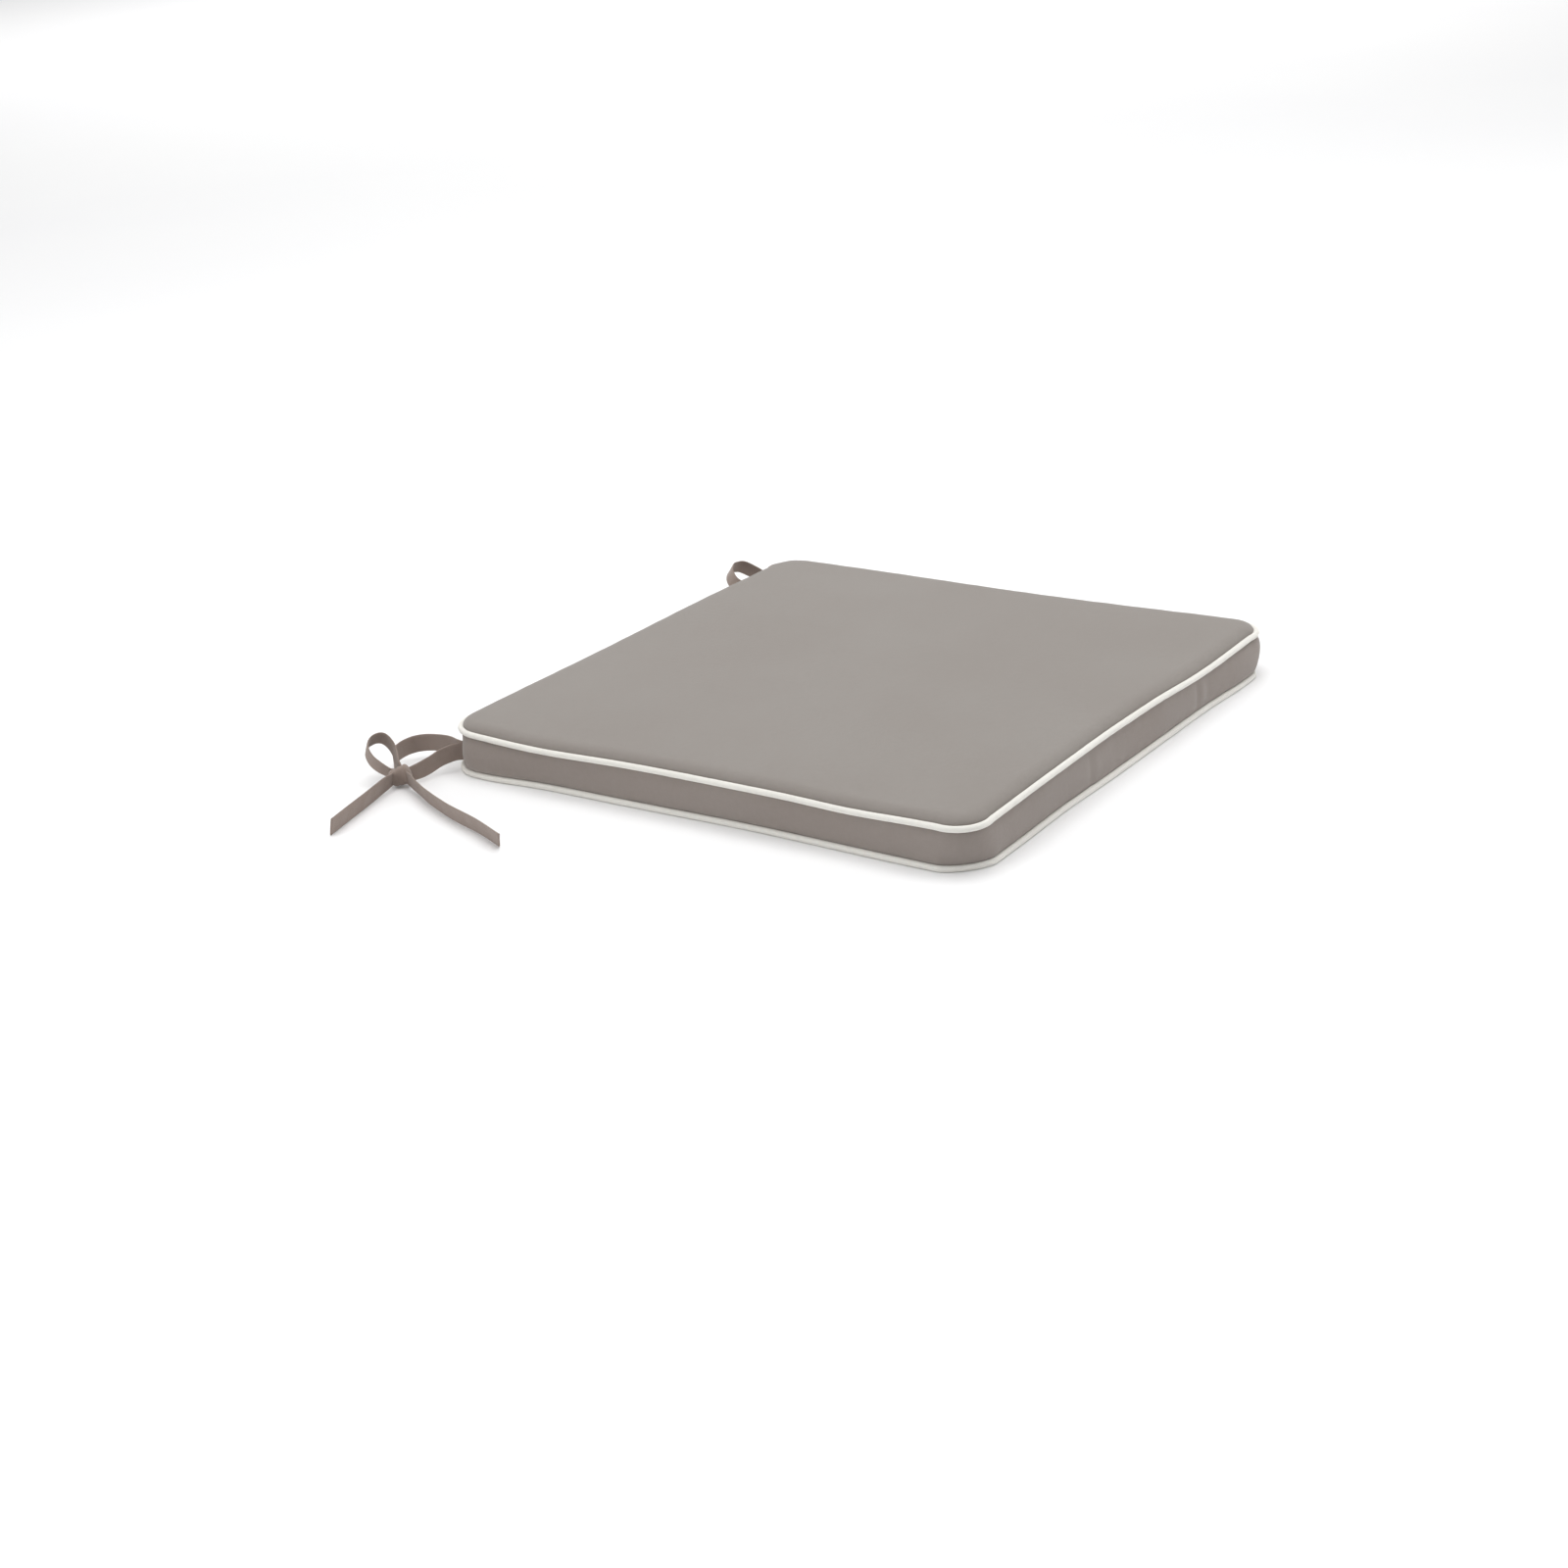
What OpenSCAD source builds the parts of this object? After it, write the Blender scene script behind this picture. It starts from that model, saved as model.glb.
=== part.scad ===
// Boxed chair seat pad: a piped fabric cover with a zip along the rear, a foam core
// between two layers of wadding, and two flat tie tapes at each rear corner.
// Millimetres, +Z up. The origin is the centre of the underside, and the front faces -Y.

/* [Pad] */
// Width of the pad between the side seams
pad_w = 425; // [380:5:480]
// Depth of the pad between the front and rear seams
pad_d = 430; // [380:5:480]
// Radius of the corners, along the seams
corner_r = 25; // [20:1:40]
// Height from the bottom piping's centre to the top piping's centre
seam_rise = 28.6; // [28.6:0.2:40]
// Rise of the top panel from its edge to its middle
crown = 7.2; // [2:0.2:15]

/* [Cover] */
// Thickness of the cover cloth
cloth_t = 0.8; // [0.5:0.1:1]
// Width of the seam allowance inside the cover
allowance = 12; // [8:1:14]
// Outer diameter of the piping
piping_d = 4.4; // [4.2:0.1:6]
// Diameter of the cord inside the piping
piping_cord_d = 2.9; // [2:0.1:3.1]

/* [Filling] */
// Height of the gap between the bottom panel and the foam, filled by wadding
wadding_t = 3; // [2:0.5:4]

/* [Zip] */
// Length of the zip's opening
zip_len = 340; // [240:5:360]
// Width of the zip's tape, on one side of the coil
zip_tape_w = 10; // [8:0.5:10]
// Height of the opening between the two lips of the rear band
zip_gap = 7.8; // [7.8:0.1:9]
// Length of the slider's body
slider_len = 10; // [8:0.5:12]
// Length of the pull tab beyond its pivot
pull_len = 22; // [16:1:30]

/* [Ties] */
// Width of a tie tape
tie_w = 13; // [10:0.5:14]
// Thickness of a tie tape
tie_t = 1.2; // [0.8:0.1:1.6]

/* [Hidden] */
$fn = 48;

// Colours
taupe = [0.63, 0.60, 0.57];
band_taupe = [0.55, 0.51, 0.48];
piping_white = [0.97, 0.96, 0.93];
cord_white = [0.9, 0.9, 0.88];
foam_cream = [0.95, 0.9, 0.72];
wadding_white = [0.95, 0.95, 0.96];
tie_taupe = [0.53, 0.48, 0.45];
zip_grey = [0.5, 0.47, 0.45];
zip_nickel = [0.72, 0.72, 0.72];

// Seams: distances inwards from the piping's centre line are called insets
piping_r = piping_d / 2;
seam_low = piping_r;
seam_high = seam_low + seam_rise;
seam_inset = piping_r + 0.1;
fit_gap = 0.05;
band_low = seam_low + piping_r + fit_gap;
band_high = seam_high - piping_r - fit_gap;
band_mid = (band_low + band_high) / 2;
half_w = pad_w / 2;
half_d = pad_d / 2;
core_inset = allowance + 0.3;

// Zip: depths are measured from the band's outer face, inwards being negative
lip_t = 3 * cloth_t;
zip_tape_t = 0.7;
coil_t = 1.8;
coil_inner = 0.55;
coil_outer = 2.6;
zip_end_x = zip_len / 2;
stop_len = 2;
coil_end_x = zip_end_x - stop_len;
slider_x = -coil_end_x + slider_len / 2 + 0.5;
slider_half_w = 3.5;
plate_t = 0.7;
pivot_n = 1.0;
pivot_r = 0.45;
rear_y = half_d;

// Tie tapes: each entry is a point on the tape's centre line and the direction of its width.
// Points are measured from the pad's rear corner on that side, at the height of the underside.
up = [0, 0, 1];
left_ear = [-0.25, -0.53, 0.81];
right_ear = [0, -0.58, 0.81];
left_front_route = [
    [[7, -9, 13], up], [[2, -3, 13], up], [[-7, 2, 11.3], up], [[-17, 4, 9], up],
    [[-27, 6, 7.8], up], [[-35, 9, 8], up], [[-36, 15, 11], left_ear],
    [[-32, 21, 15], left_ear], [[-27, 28, 21], left_ear], [[-26, 35, 26], left_ear],
    [[-29, 39, 28], left_ear], [[-36, 41, 27], left_ear], [[-42, 39, 23], left_ear],
    [[-45, 33, 18], left_ear], [[-45, 26, 14], left_ear], [[-43, 19, 10], left_ear],
    [[-42, 14, 8], [0, -0.2, 1]], [[-48, 13, 7.2], [0, -0.2, 1]],
    [[-59, 11, 6.9], [0, -0.2, 1]], [[-82, 5, 6.7], [0, -0.2, 1]],
    [[-106, -1, 6.7], [0, -0.2, 1]], [[-129, -7, 6.7], [0, -0.2, 1]]
];
left_back_route = [
    [[9, -7, 13], up], [[10, 0, 13], up], [[13, 12, 13], up], [[12, 28, 12], up],
    [[7, 38, 11], up], [[-2, 42, 10], up], [[-12, 41, 9], up], [[-20, 36, 8], up],
    [[-26, 27, 8], up], [[-32, 18, 8], up], [[-38, 10, 8], up], [[-43, -1, 7.4], [-0.1, 0, 1]],
    [[-50, -14, 6.9], [-0.2, 0.1, 1]], [[-60, -33, 6.8], [-0.2, 0.1, 1]],
    [[-73, -64, 6.7], [-0.2, 0.1, 1]], [[-84, -98, 6.7], [-0.2, 0.1, 1]],
    [[-96, -127, 6.7], [-0.2, 0.1, 1]]
];
right_inner_route = [
    [[-9, -7, 13], up], [[-5, -1, 13], up], [[4, 16, 11], up], [[9, 23, 9], right_ear],
    [[6, 31, 13], right_ear], [[3, 38, 17], right_ear], [[-3, 44, 22], right_ear],
    [[-9, 47, 23], right_ear], [[-15, 47, 23], right_ear], [[-22, 43, 20], right_ear],
    [[-25, 37, 15], right_ear], [[-22, 31, 11], right_ear], [[-15, 27, 9], right_ear],
    [[-6, 25, 8], right_ear], [[1, 23, 8], right_ear], [[-1, 20, 7], [0, -0.6, 0.8]],
    [[-9, 19, 5], [0, -0.9, 0.5]], [[-21, 21, 2], [0, -1, 0.1]], [[-40, 23, 1], [0, -1, 0]],
    [[-65, 26, 1], [-0.2, -1, 0]], [[-90, 31, 1], [-0.2, -1, 0]]
];
right_outer_route = [
    [[-7, -9, 13], up], [[-1, -7, 13], up], [[11, -4, 12.5], up], [[27, 0, 11], up],
    [[43, 3, 9], up], [[53, 9, 7.5], [-0.3, -0.1, 0.9]], [[56, 21, 6.5], [-0.4, -0.3, 0.9]],
    [[54, 34, 6.2], [-0.4, -0.3, 0.9]], [[47, 41, 6.2], [-0.4, -0.3, 0.9]],
    [[36, 42, 6.4], [-0.2, -0.2, 0.9]], [[25, 38, 7], up], [[17, 32, 8], up],
    [[11, 24, 8], [0.3, 0, 0.9]], [[13, 16, 6], [0.7, 0.1, 0.7]], [[18, 4, 3], [1, 0.3, 0.2]],
    [[24, -10, 1], [1, 0.3, 0]], [[29, -35, 1], [1, 0.2, 0]], [[32, -62, 1], [1, 0, 0]],
    [[33, -90, 1], [1, 0, 0]]
];

// ---- Outlines and rings -------------------------------------------------------------

// The pad's outline, moved in by inset
module outline(inset) {
    r = corner_r - inset;
    x = half_w - corner_r;
    y = half_d - corner_r;
    square([2 * x, 2 * (y + r)], center = true);
    square([2 * (x + r), 2 * y], center = true);
    for (sx = [-1, 1], sy = [-1, 1]) translate([sx * x, sy * y]) circle(r);
}

// A level ring between two insets, from z0 to z1
module level_ring(outer, inner, z0, z1) {
    translate([0, 0, z0]) linear_extrude(z1 - z0) difference() {
        outline(outer);
        outline(inner);
    }
}

// A flat slab of the outline, from z0 to z1
module slab(inset, z0, z1) {
    translate([0, 0, z0]) linear_extrude(z1 - z0) outline(inset);
}

// A round bar bent along the pad's outline, at height z
module ring_bar(r, z) {
    x = half_w - corner_r;
    y = half_d - corner_r;
    translate([0, 0, z]) {
        for (s = [-1, 1]) {
            translate([-x, s * half_d, 0]) rotate([0, 90, 0]) cylinder(h = 2 * x, r = r);
            translate([s * half_w, y, 0]) rotate([90, 0, 0]) cylinder(h = 2 * y, r = r);
        }
        for (q = [[1, 1, 0], [-1, 1, 90], [-1, -1, 180], [1, -1, 270]])
            translate([q[0] * x, q[1] * y, 0]) rotate([0, 0, q[2]])
                rotate_extrude(angle = 90) translate([corner_r, 0]) circle(r);
    }
}

// The prism behind the two vertical seams, which cross the rear corners at 45 degrees
module rear_region() {
    x = half_w - corner_r;
    y = half_d - corner_r;
    reach = 2 * corner_r;
    translate([0, 0, -1]) linear_extrude(seam_high + 2)
        polygon([[-x, y], [x, y], [x + reach, y + reach], [-x - reach, y + reach]]);
}

// ---- Lofts and sweeps ---------------------------------------------------------------

// Points round the outline at an inset, all at height z
corner_steps = 6;
function ring_points(inset, z) = let(
        sx = 1 - inset / half_w,
        sy = 1 - inset / half_d
    ) [
        for (c = [0:3], k = [0:corner_steps]) let(
            a = 90 * c + 90 * k / corner_steps,
            cx = (c == 0 || c == 3 ? 1 : -1) * (half_w - corner_r),
            cy = (c < 2 ? 1 : -1) * (half_d - corner_r)
        ) [sx * (cx + corner_r * cos(a)), sy * (cy + corner_r * sin(a)), z]
    ];

// A closed solid through rings, with a point at each end of the list
module loft(first_tip, rings, last_tip) {
    n = len(rings[0]);
    m = len(rings);
    points = concat([first_tip], [for (ring = rings, p = ring) p], [last_tip]);
    last = len(points) - 1;
    first_fan = [for (k = [0:n - 1]) [0, 1 + (k + 1) % n, 1 + k]];
    walls = [for (i = [0:m - 2], k = [0:n - 1], half = [0, 1]) let(
        a = 1 + i * n + k,
        b = 1 + i * n + (k + 1) % n
    ) half == 0 ? [a, b, b + n] : [a, b + n, a + n]];
    last_fan = [for (k = [0:n - 1]) let(s = 1 + (m - 1) * n) [s + k, s + (k + 1) % n, last]];
    polyhedron(points = points, faces = concat(first_fan, walls, last_fan), convexity = 6);
}

// Height of the top panel's outer face at an inset
function dome(inset) = let(u = min(1, (inset - seam_inset) / (half_w - seam_inset)))
    seam_high + 1.5 * cloth_t + crown * (1 - pow(1 - u, 3));

// Insets that start at one value and widen towards the middle
dome_rings = 10;
function dome_insets(start) = [
    for (i = [0:dome_rings - 1]) start + (half_w - start) * pow(i / dome_rings, 1.8)
];

function unit(v) = v / norm(v);

// The eight corners of a tape's section, at point p, across the directions wide and thin
function tape_section(p, wide, thin) = [
    for (s = [[1, -0.5], [1, 0.5], [0.92, 1], [-0.92, 1], [-1, 0.5], [-1, -0.5], [-0.92, -1], [0.92, -1]])
        p + wide * s[0] * tie_w / 2 + thin * s[1] * tie_t / 2
];

// A flat tape along a route, set at a corner of the pad
module tape(route, corner) {
    last = len(route) - 1;
    rings = [for (i = [0:last]) let(
        ahead = route[min(i + 1, last)][0],
        behind = route[max(i - 1, 0)][0],
        along = unit(ahead - behind),
        wide = unit(route[i][1] - (route[i][1] * along) * along),
        thin = cross(along, wide)
    ) tape_section(route[i][0] + corner, wide, thin)];
    loft(route[0][0] + corner, rings, route[last][0] + corner);
}

// ---- Cover --------------------------------------------------------------------------

module top_panel() {
    under = seam_high + cloth_t / 2;
    outer = [for (i = dome_insets(seam_inset)) ring_points(i, dome(i))];
    inner = [for (i = dome_insets(allowance)) ring_points(i, dome(i) - cloth_t)];
    n = dome_rings - 1;
    color(taupe) loft(
        [0, 0, dome(half_w)],
        concat(
            [for (i = [n:-1:0]) outer[i]],
            [ring_points(seam_inset, under), ring_points(allowance, under)],
            inner
        ),
        [0, 0, dome(half_w) - cloth_t]
    );
}

module bottom_panel() {
    color(taupe) {
        slab(0.8 * piping_r, 0, cloth_t);
        level_ring(seam_inset, allowance, cloth_t, seam_low - cloth_t / 2);
    }
}

// The band all the way round: a wall with a shelf over each piping and a turned-in allowance
module full_band() {
    level_ring(0, cloth_t, band_low, band_high);
    band_edge(seam_low + cloth_t / 2, band_low + cloth_t);
    translate([0, 0, seam_low + seam_high]) mirror([0, 0, 1])
        band_edge(seam_low + cloth_t / 2, band_low + cloth_t);
}

module band_edge(z_turn, z_shelf) {
    level_ring(0, seam_inset + cloth_t, z_shelf - cloth_t, z_shelf);
    level_ring(seam_inset, seam_inset + cloth_t, z_turn, z_shelf);
    level_ring(seam_inset, allowance, z_turn, z_turn + cloth_t);
}

module side_band() {
    color(band_taupe) difference() {
        full_band();
        rear_region();
    }
}

// One half of the rear band, with its triple-folded lip along the zip's opening
module rear_half() {
    lip_len = zip_len + 12;
    gap_len = zip_len + 2;
    fold_w = zip_tape_w - zip_gap / 2;
    difference() {
        union() {
            intersection() {
                full_band();
                rear_region();
                translate([-pad_w, 0, 0]) cube([2 * pad_w, pad_d, band_mid - fit_gap / 2]);
            }
            translate([-lip_len / 2, rear_y - lip_t, band_mid - zip_gap / 2 - fold_w])
                cube([lip_len, lip_t, zip_gap / 2 + fold_w - fit_gap / 2]);
        }
        translate([-gap_len / 2, rear_y - lip_t - 1, band_mid - zip_gap / 2])
            cube([gap_len, lip_t + 2, zip_gap]);
    }
}

// Turns a lower piece over to make its upper twin
module upper_twin() {
    translate([0, 0, 2 * band_mid]) mirror([0, 0, 1]) children();
}

module rear_band_lower() {
    color(band_taupe) rear_half();
}

module rear_band_upper() {
    color(band_taupe) upper_twin() rear_half();
}

// ---- Piping -------------------------------------------------------------------------

// Bias strip sewn round the cord, with its two edges together as a flat allowance
module piping_cover(z) {
    difference() {
        union() {
            ring_bar(piping_r, z);
            level_ring(piping_r - 0.2, allowance, z - cloth_t / 2, z + cloth_t / 2);
        }
        ring_bar(piping_cord_d / 2 + fit_gap, z);
    }
}

module top_piping_cover() {
    color(piping_white) piping_cover(seam_high);
}

module top_piping_cord() {
    color(cord_white) ring_bar(piping_cord_d / 2, seam_high);
}

module bottom_piping_cover() {
    color(piping_white) piping_cover(seam_low);
}

module bottom_piping_cord() {
    color(cord_white) ring_bar(piping_cord_d / 2, seam_low);
}

// ---- Filling ------------------------------------------------------------------------

foam_low = cloth_t + 0.1 + wadding_t + 0.1;
foam_high = seam_high - 0.1;
zip_room = 6;

module foam_core() {
    color(foam_cream) difference() {
        union() {
            slab(core_inset + 0.2, foam_low, foam_high);
            slab(1.5 * cloth_t, band_low + cloth_t + 0.2, band_high - cloth_t - 0.2);
        }
        translate([-half_w, rear_y - zip_room, -1]) cube([pad_w, pad_d, seam_high + 2]);
    }
}

module wadding_top() {
    skin = cloth_t + 0.1;
    rings = [for (i = dome_insets(core_inset)) ring_points(i, dome(i) - skin)];
    n = dome_rings - 1;
    color(wadding_white) loft(
        [0, 0, dome(half_w) - skin],
        concat([for (i = [n:-1:0]) rings[i]], [ring_points(core_inset, foam_high + 0.1)]),
        [0, 0, foam_high + 0.1]
    );
}

module wadding_bottom() {
    color(wadding_white) slab(core_inset, cloth_t + 0.1, cloth_t + 0.1 + wadding_t);
}

// ---- Zip ----------------------------------------------------------------------------

// A block of the zip: from x0 to x1, depth n0 to n1, height v0 to v1 from the zip's middle
module zip_block(x0, x1, n0, n1, v0, v1) {
    translate([x0, rear_y + n0, band_mid + v0]) cube([x1 - x0, n1 - n0, v1 - v0]);
}

module zip_tape_half() {
    zip_block(-zip_end_x - 5, zip_end_x + 5, -lip_t - zip_tape_t, -lip_t, -zip_tape_w, -coil_inner);
}

module zip_tape_lower() {
    color(zip_grey) zip_tape_half();
}

module zip_tape_upper() {
    color(zip_grey) upper_twin() zip_tape_half();
}

module zip_coil_half() {
    zip_block(-coil_end_x, coil_end_x, -lip_t, -lip_t + coil_t, -coil_outer, -coil_inner);
}

module zip_coil_lower() {
    color(zip_grey) zip_coil_half();
}

module zip_coil_upper() {
    color(zip_grey) upper_twin() zip_coil_half();
}

module zip_top_stop() {
    zip_block(-zip_end_x, -coil_end_x, -lip_t, -lip_t + coil_t, -coil_outer, -coil_inner);
}

module zip_top_stops() {
    color(zip_nickel) {
        zip_top_stop();
        upper_twin() zip_top_stop();
    }
}

module zip_bottom_stop() {
    color(zip_nickel) zip_block(
        coil_end_x, zip_end_x, -lip_t, -lip_t + coil_t, -coil_outer, coil_outer
    );
}

// Two plates round the coils, joined by a wedge between them, with an arch for the tab
module zip_slider() {
    top_n = -lip_t + coil_t + 0.2;
    low_n = -lip_t - zip_tape_t - 0.4;
    web = 0.3;
    x0 = slider_x - slider_len / 2;
    x1 = slider_x + slider_len / 2;
    arch_n = top_n + plate_t;
    arch_top = pivot_n + pivot_r + 0.25;
    color(zip_nickel) {
        zip_block(x0, x1, top_n, top_n + plate_t, -slider_half_w, slider_half_w);
        zip_block(x0, x1, low_n - plate_t, low_n, -slider_half_w, slider_half_w);
        zip_block(x0, x0 + 2, low_n, top_n, -web, web);
        for (s = [-1, 1]) {
            v = s * (slider_half_w - 0.3);
            zip_block(x0, x1, top_n - 1.4, top_n, v - 0.3, v + 0.3);
            zip_block(slider_x + s * 2.9 - 0.5, slider_x + s * 2.9 + 0.5, arch_n, arch_top, -0.8, 0.8);
        }
        zip_block(slider_x - 3.4, slider_x + 3.4, arch_top, arch_top + 0.6, -0.8, 0.8);
    }
}

// A tab whose cross bar lies under the slider's arch
module zip_pull_tab() {
    fork = 4.5;
    color(zip_nickel) difference() {
        union() {
            translate([slider_x, rear_y + pivot_n, band_mid - 2.2]) cylinder(h = 4.4, r = pivot_r);
            for (s = [-1, 1]) {
                v = s * 1.65;
                zip_block(slider_x, slider_x + fork, pivot_n - 0.4, pivot_n + 0.4, v - 0.55, v + 0.55);
            }
            zip_block(slider_x + fork, slider_x + pull_len - 2.5, pivot_n - 0.4, pivot_n + 0.4, -2.5, 2.5);
            translate([slider_x + pull_len - 2.5, rear_y + pivot_n + 0.4, band_mid])
                rotate([90, 0, 0]) cylinder(h = 0.8, r = 2.5);
        }
        translate([slider_x + pull_len - 3, rear_y + pivot_n + 1, band_mid])
            rotate([90, 0, 0]) cylinder(h = 2, r = 1.1);
    }
}

// ---- Ties ---------------------------------------------------------------------------

left_corner = [-half_w, half_d, 0];
right_corner = [half_w, half_d, 0];

module left_tie_front() {
    color(tie_taupe) tape(left_front_route, left_corner);
}

module left_tie_back() {
    color(tie_taupe) tape(left_back_route, left_corner);
}

module right_tie_inner() {
    color(tie_taupe) tape(right_inner_route, right_corner);
}

module right_tie_outer() {
    color(tie_taupe) tape(right_outer_route, right_corner);
}

top_panel();
bottom_panel();
side_band();
rear_band_upper();
rear_band_lower();
top_piping_cover();
top_piping_cord();
bottom_piping_cover();
bottom_piping_cord();
foam_core();
wadding_top();
wadding_bottom();
zip_tape_upper();
zip_tape_lower();
zip_coil_upper();
zip_coil_lower();
zip_top_stops();
zip_bottom_stop();
zip_slider();
zip_pull_tab();
left_tie_front();
left_tie_back();
right_tie_inner();
right_tie_outer();
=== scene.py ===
"""A boxed chair seat pad: a piped cover with a rear zip, its filling, and two bows of tie tape.

Sizes inside the script are millimetres. A piece's mesh is scaled to metres when it is made.
The origin is the middle of the underside, the front faces -Y and +Z is up.
"""

import math

import bmesh
import bpy
import numpy as np
from mathutils import Matrix, Vector


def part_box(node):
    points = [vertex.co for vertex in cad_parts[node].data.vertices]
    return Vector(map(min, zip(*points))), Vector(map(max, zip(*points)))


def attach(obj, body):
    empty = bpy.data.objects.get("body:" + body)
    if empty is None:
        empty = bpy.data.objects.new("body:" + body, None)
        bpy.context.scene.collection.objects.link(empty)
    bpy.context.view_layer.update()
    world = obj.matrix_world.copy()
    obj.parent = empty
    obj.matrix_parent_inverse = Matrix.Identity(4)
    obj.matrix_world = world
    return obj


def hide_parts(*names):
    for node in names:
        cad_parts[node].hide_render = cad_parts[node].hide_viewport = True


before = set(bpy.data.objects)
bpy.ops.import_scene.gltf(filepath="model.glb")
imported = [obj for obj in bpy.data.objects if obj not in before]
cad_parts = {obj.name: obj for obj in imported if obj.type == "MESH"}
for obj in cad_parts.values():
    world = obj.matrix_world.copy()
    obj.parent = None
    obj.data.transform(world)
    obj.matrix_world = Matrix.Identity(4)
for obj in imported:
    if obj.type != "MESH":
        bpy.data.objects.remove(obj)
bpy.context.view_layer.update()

MM = 0.001


# ---- Sizes, taken from the frame ----------------------------------------------------------


def corners(node):
    """A CAD node's lowest and highest corners, in millimetres."""
    low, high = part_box(node)
    return np.array(low) / MM, np.array(high) / MM


PIPE_LOW, PIPE_HIGH = corners("bottom_piping_cord")
CORD_R = (PIPE_HIGH[2] - PIPE_LOW[2]) / 2
HALF_W = PIPE_HIGH[0] - CORD_R
HALF_D = PIPE_HIGH[1] - CORD_R
PIPING_R = corners("bottom_piping_cover")[1][0] - HALF_W
CORNER_R = 25.0
SEAM_LOW = PIPING_R
SEAM_HIGH = corners("top_piping_cord")[1][2] - CORD_R
TOP = corners("top_panel")[1][2]
CLOTH_T = 0.8
ALLOWANCE = 12.0
COIL_LOW, COIL_HIGH = corners("zip_coil_lower")
ZIP_MID = (corners("zip_coil_upper")[0][2] + COIL_HIGH[2]) / 2
TIE_W = 13.0
TIE_T = 1.2
LEFT_CORNER = np.array([-HALF_W, HALF_D, 0.0])
RIGHT_CORNER = np.array([HALF_W, HALF_D, 0.0])
TAU = 2 * math.pi


# ---- Camera -------------------------------------------------------------------------------


# Metres, then degrees of heading, downward tilt and roll, then millimetres of focal length
CAMERA_PLACE = (-1.45999, -0.98341, 0.65989)
CAMERA_TURN = (-53.953, 21.903, -4.077)
CAMERA_LENS = 59.31


def add_camera():
    """Looks down at the pad from its front left, a little tilted."""
    heading, tilt, roll = (math.radians(a) for a in CAMERA_TURN)
    lens = bpy.data.cameras.new("camera")
    lens.lens = CAMERA_LENS
    lens.sensor_width = 36
    camera = bpy.data.objects.new("camera", lens)
    turn = Matrix.Rotation(heading, 4, "Z") @ Matrix.Rotation(math.pi / 2 - tilt, 4, "X")
    place = Matrix.Translation(CAMERA_PLACE)
    camera.matrix_world = place @ turn @ Matrix.Rotation(roll, 4, "Z")
    bpy.context.scene.collection.objects.link(camera)
    bpy.context.scene.camera = camera


# ---- Mesh helpers -------------------------------------------------------------------------


def make_piece(name, points, faces, uv=None):
    """A mesh object from points in millimetres. uv has a point for every corner of every face."""
    mesh = bpy.data.meshes.new(name)
    mesh.from_pydata((np.asarray(points) * MM).tolist(), [], faces)
    if uv is not None:
        layer = mesh.uv_layers.new(name="thread")
        layer.data.foreach_set("uv", (np.asarray(uv, float) * MM).ravel())
    mesh.polygons.foreach_set("use_smooth", [True] * len(mesh.polygons))
    mesh.update()
    piece = bpy.data.objects.new(name, mesh)
    bpy.context.scene.collection.objects.link(piece)
    return piece


def grid_faces(rows, columns, wrap_rows=False, wrap_columns=False):
    """Quads of a grid of points, as corner numbers, and the same corners on an unwrapped grid."""
    r = np.arange(rows if wrap_rows else rows - 1)
    c = np.arange(columns if wrap_columns else columns - 1)
    r, c = (g.ravel() for g in np.meshgrid(r, c, indexing="ij"))
    around = [(r, c), (r + 1, c), (r + 1, c + 1), (r, c + 1)]
    faces = np.stack([(i % rows) * columns + j % columns for i, j in around], 1)
    flat = np.stack([np.stack([i, j], 1) for i, j in around], 1)
    return faces, flat


def grid_piece(name, points, across, along, wrap_rows=False, wrap_columns=False, flip=False):
    """A piece from a grid of points, with thread positions across (rows) and along (columns)."""
    rows, columns = points.shape[:2]
    faces, flat = grid_faces(rows, columns, wrap_rows, wrap_columns)
    uv = np.stack([np.asarray(along)[flat[..., 1]], np.asarray(across)[flat[..., 0]]], -1)
    if flip:
        faces, uv = faces[:, ::-1], uv[:, ::-1]
    return make_piece(name, points.reshape(-1, 3), faces.tolist(), uv.reshape(-1, 2))


def running_length(points):
    """Distance run along a line of points, from 0 at the first."""
    steps = np.linalg.norm(np.diff(np.asarray(points), axis=0), axis=1)
    return np.concatenate([[0.0], np.cumsum(steps)])


def smooth_step(t):
    t = np.clip(t, 0, 1)
    return t * t * (3 - 2 * t)


def bump(x, middle, half_width):
    """A smooth bump of height 1, down to nothing about two half-widths away."""
    return np.exp(-(((x - middle) / half_width) ** 2))


def close_up(piece, distance=0.0002):
    """Welds points that lie on each other and makes all faces look outwards."""
    work = bmesh.new()
    work.from_mesh(piece.data)
    bmesh.ops.remove_doubles(work, verts=work.verts, dist=distance)
    bmesh.ops.recalc_face_normals(work, faces=work.faces)
    work.to_mesh(piece.data)
    work.free()


def thicken(piece, thickness):
    """Gives a sheet its cloth thickness, on the inner side."""
    solid = piece.modifiers.new("cloth thickness", "SOLIDIFY")
    solid.thickness = thickness * MM
    solid.offset = -1
    solid.use_even_offset = False


def refine(piece):
    """Rounds a piece by one subdivision."""
    smooth = piece.modifiers.new("rounding", "SUBSURF")
    smooth.levels = smooth.render_levels = 1
    smooth.boundary_smooth = "PRESERVE_CORNERS"


def bevel(piece, width):
    """Softens a piece's sharp edges."""
    edge = piece.modifiers.new("softened edges", "BEVEL")
    edge.width = width * MM
    edge.segments = 2
    edge.limit_method = "ANGLE"


def finish_piece(piece, body, slot, material, *nodes):
    """A piece's material, the body it rides on and the CAD nodes it stands for. slot is not used."""
    piece.data.materials.clear()
    piece.data.materials.append(material)
    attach(piece, body)
    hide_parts(*nodes)


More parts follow.
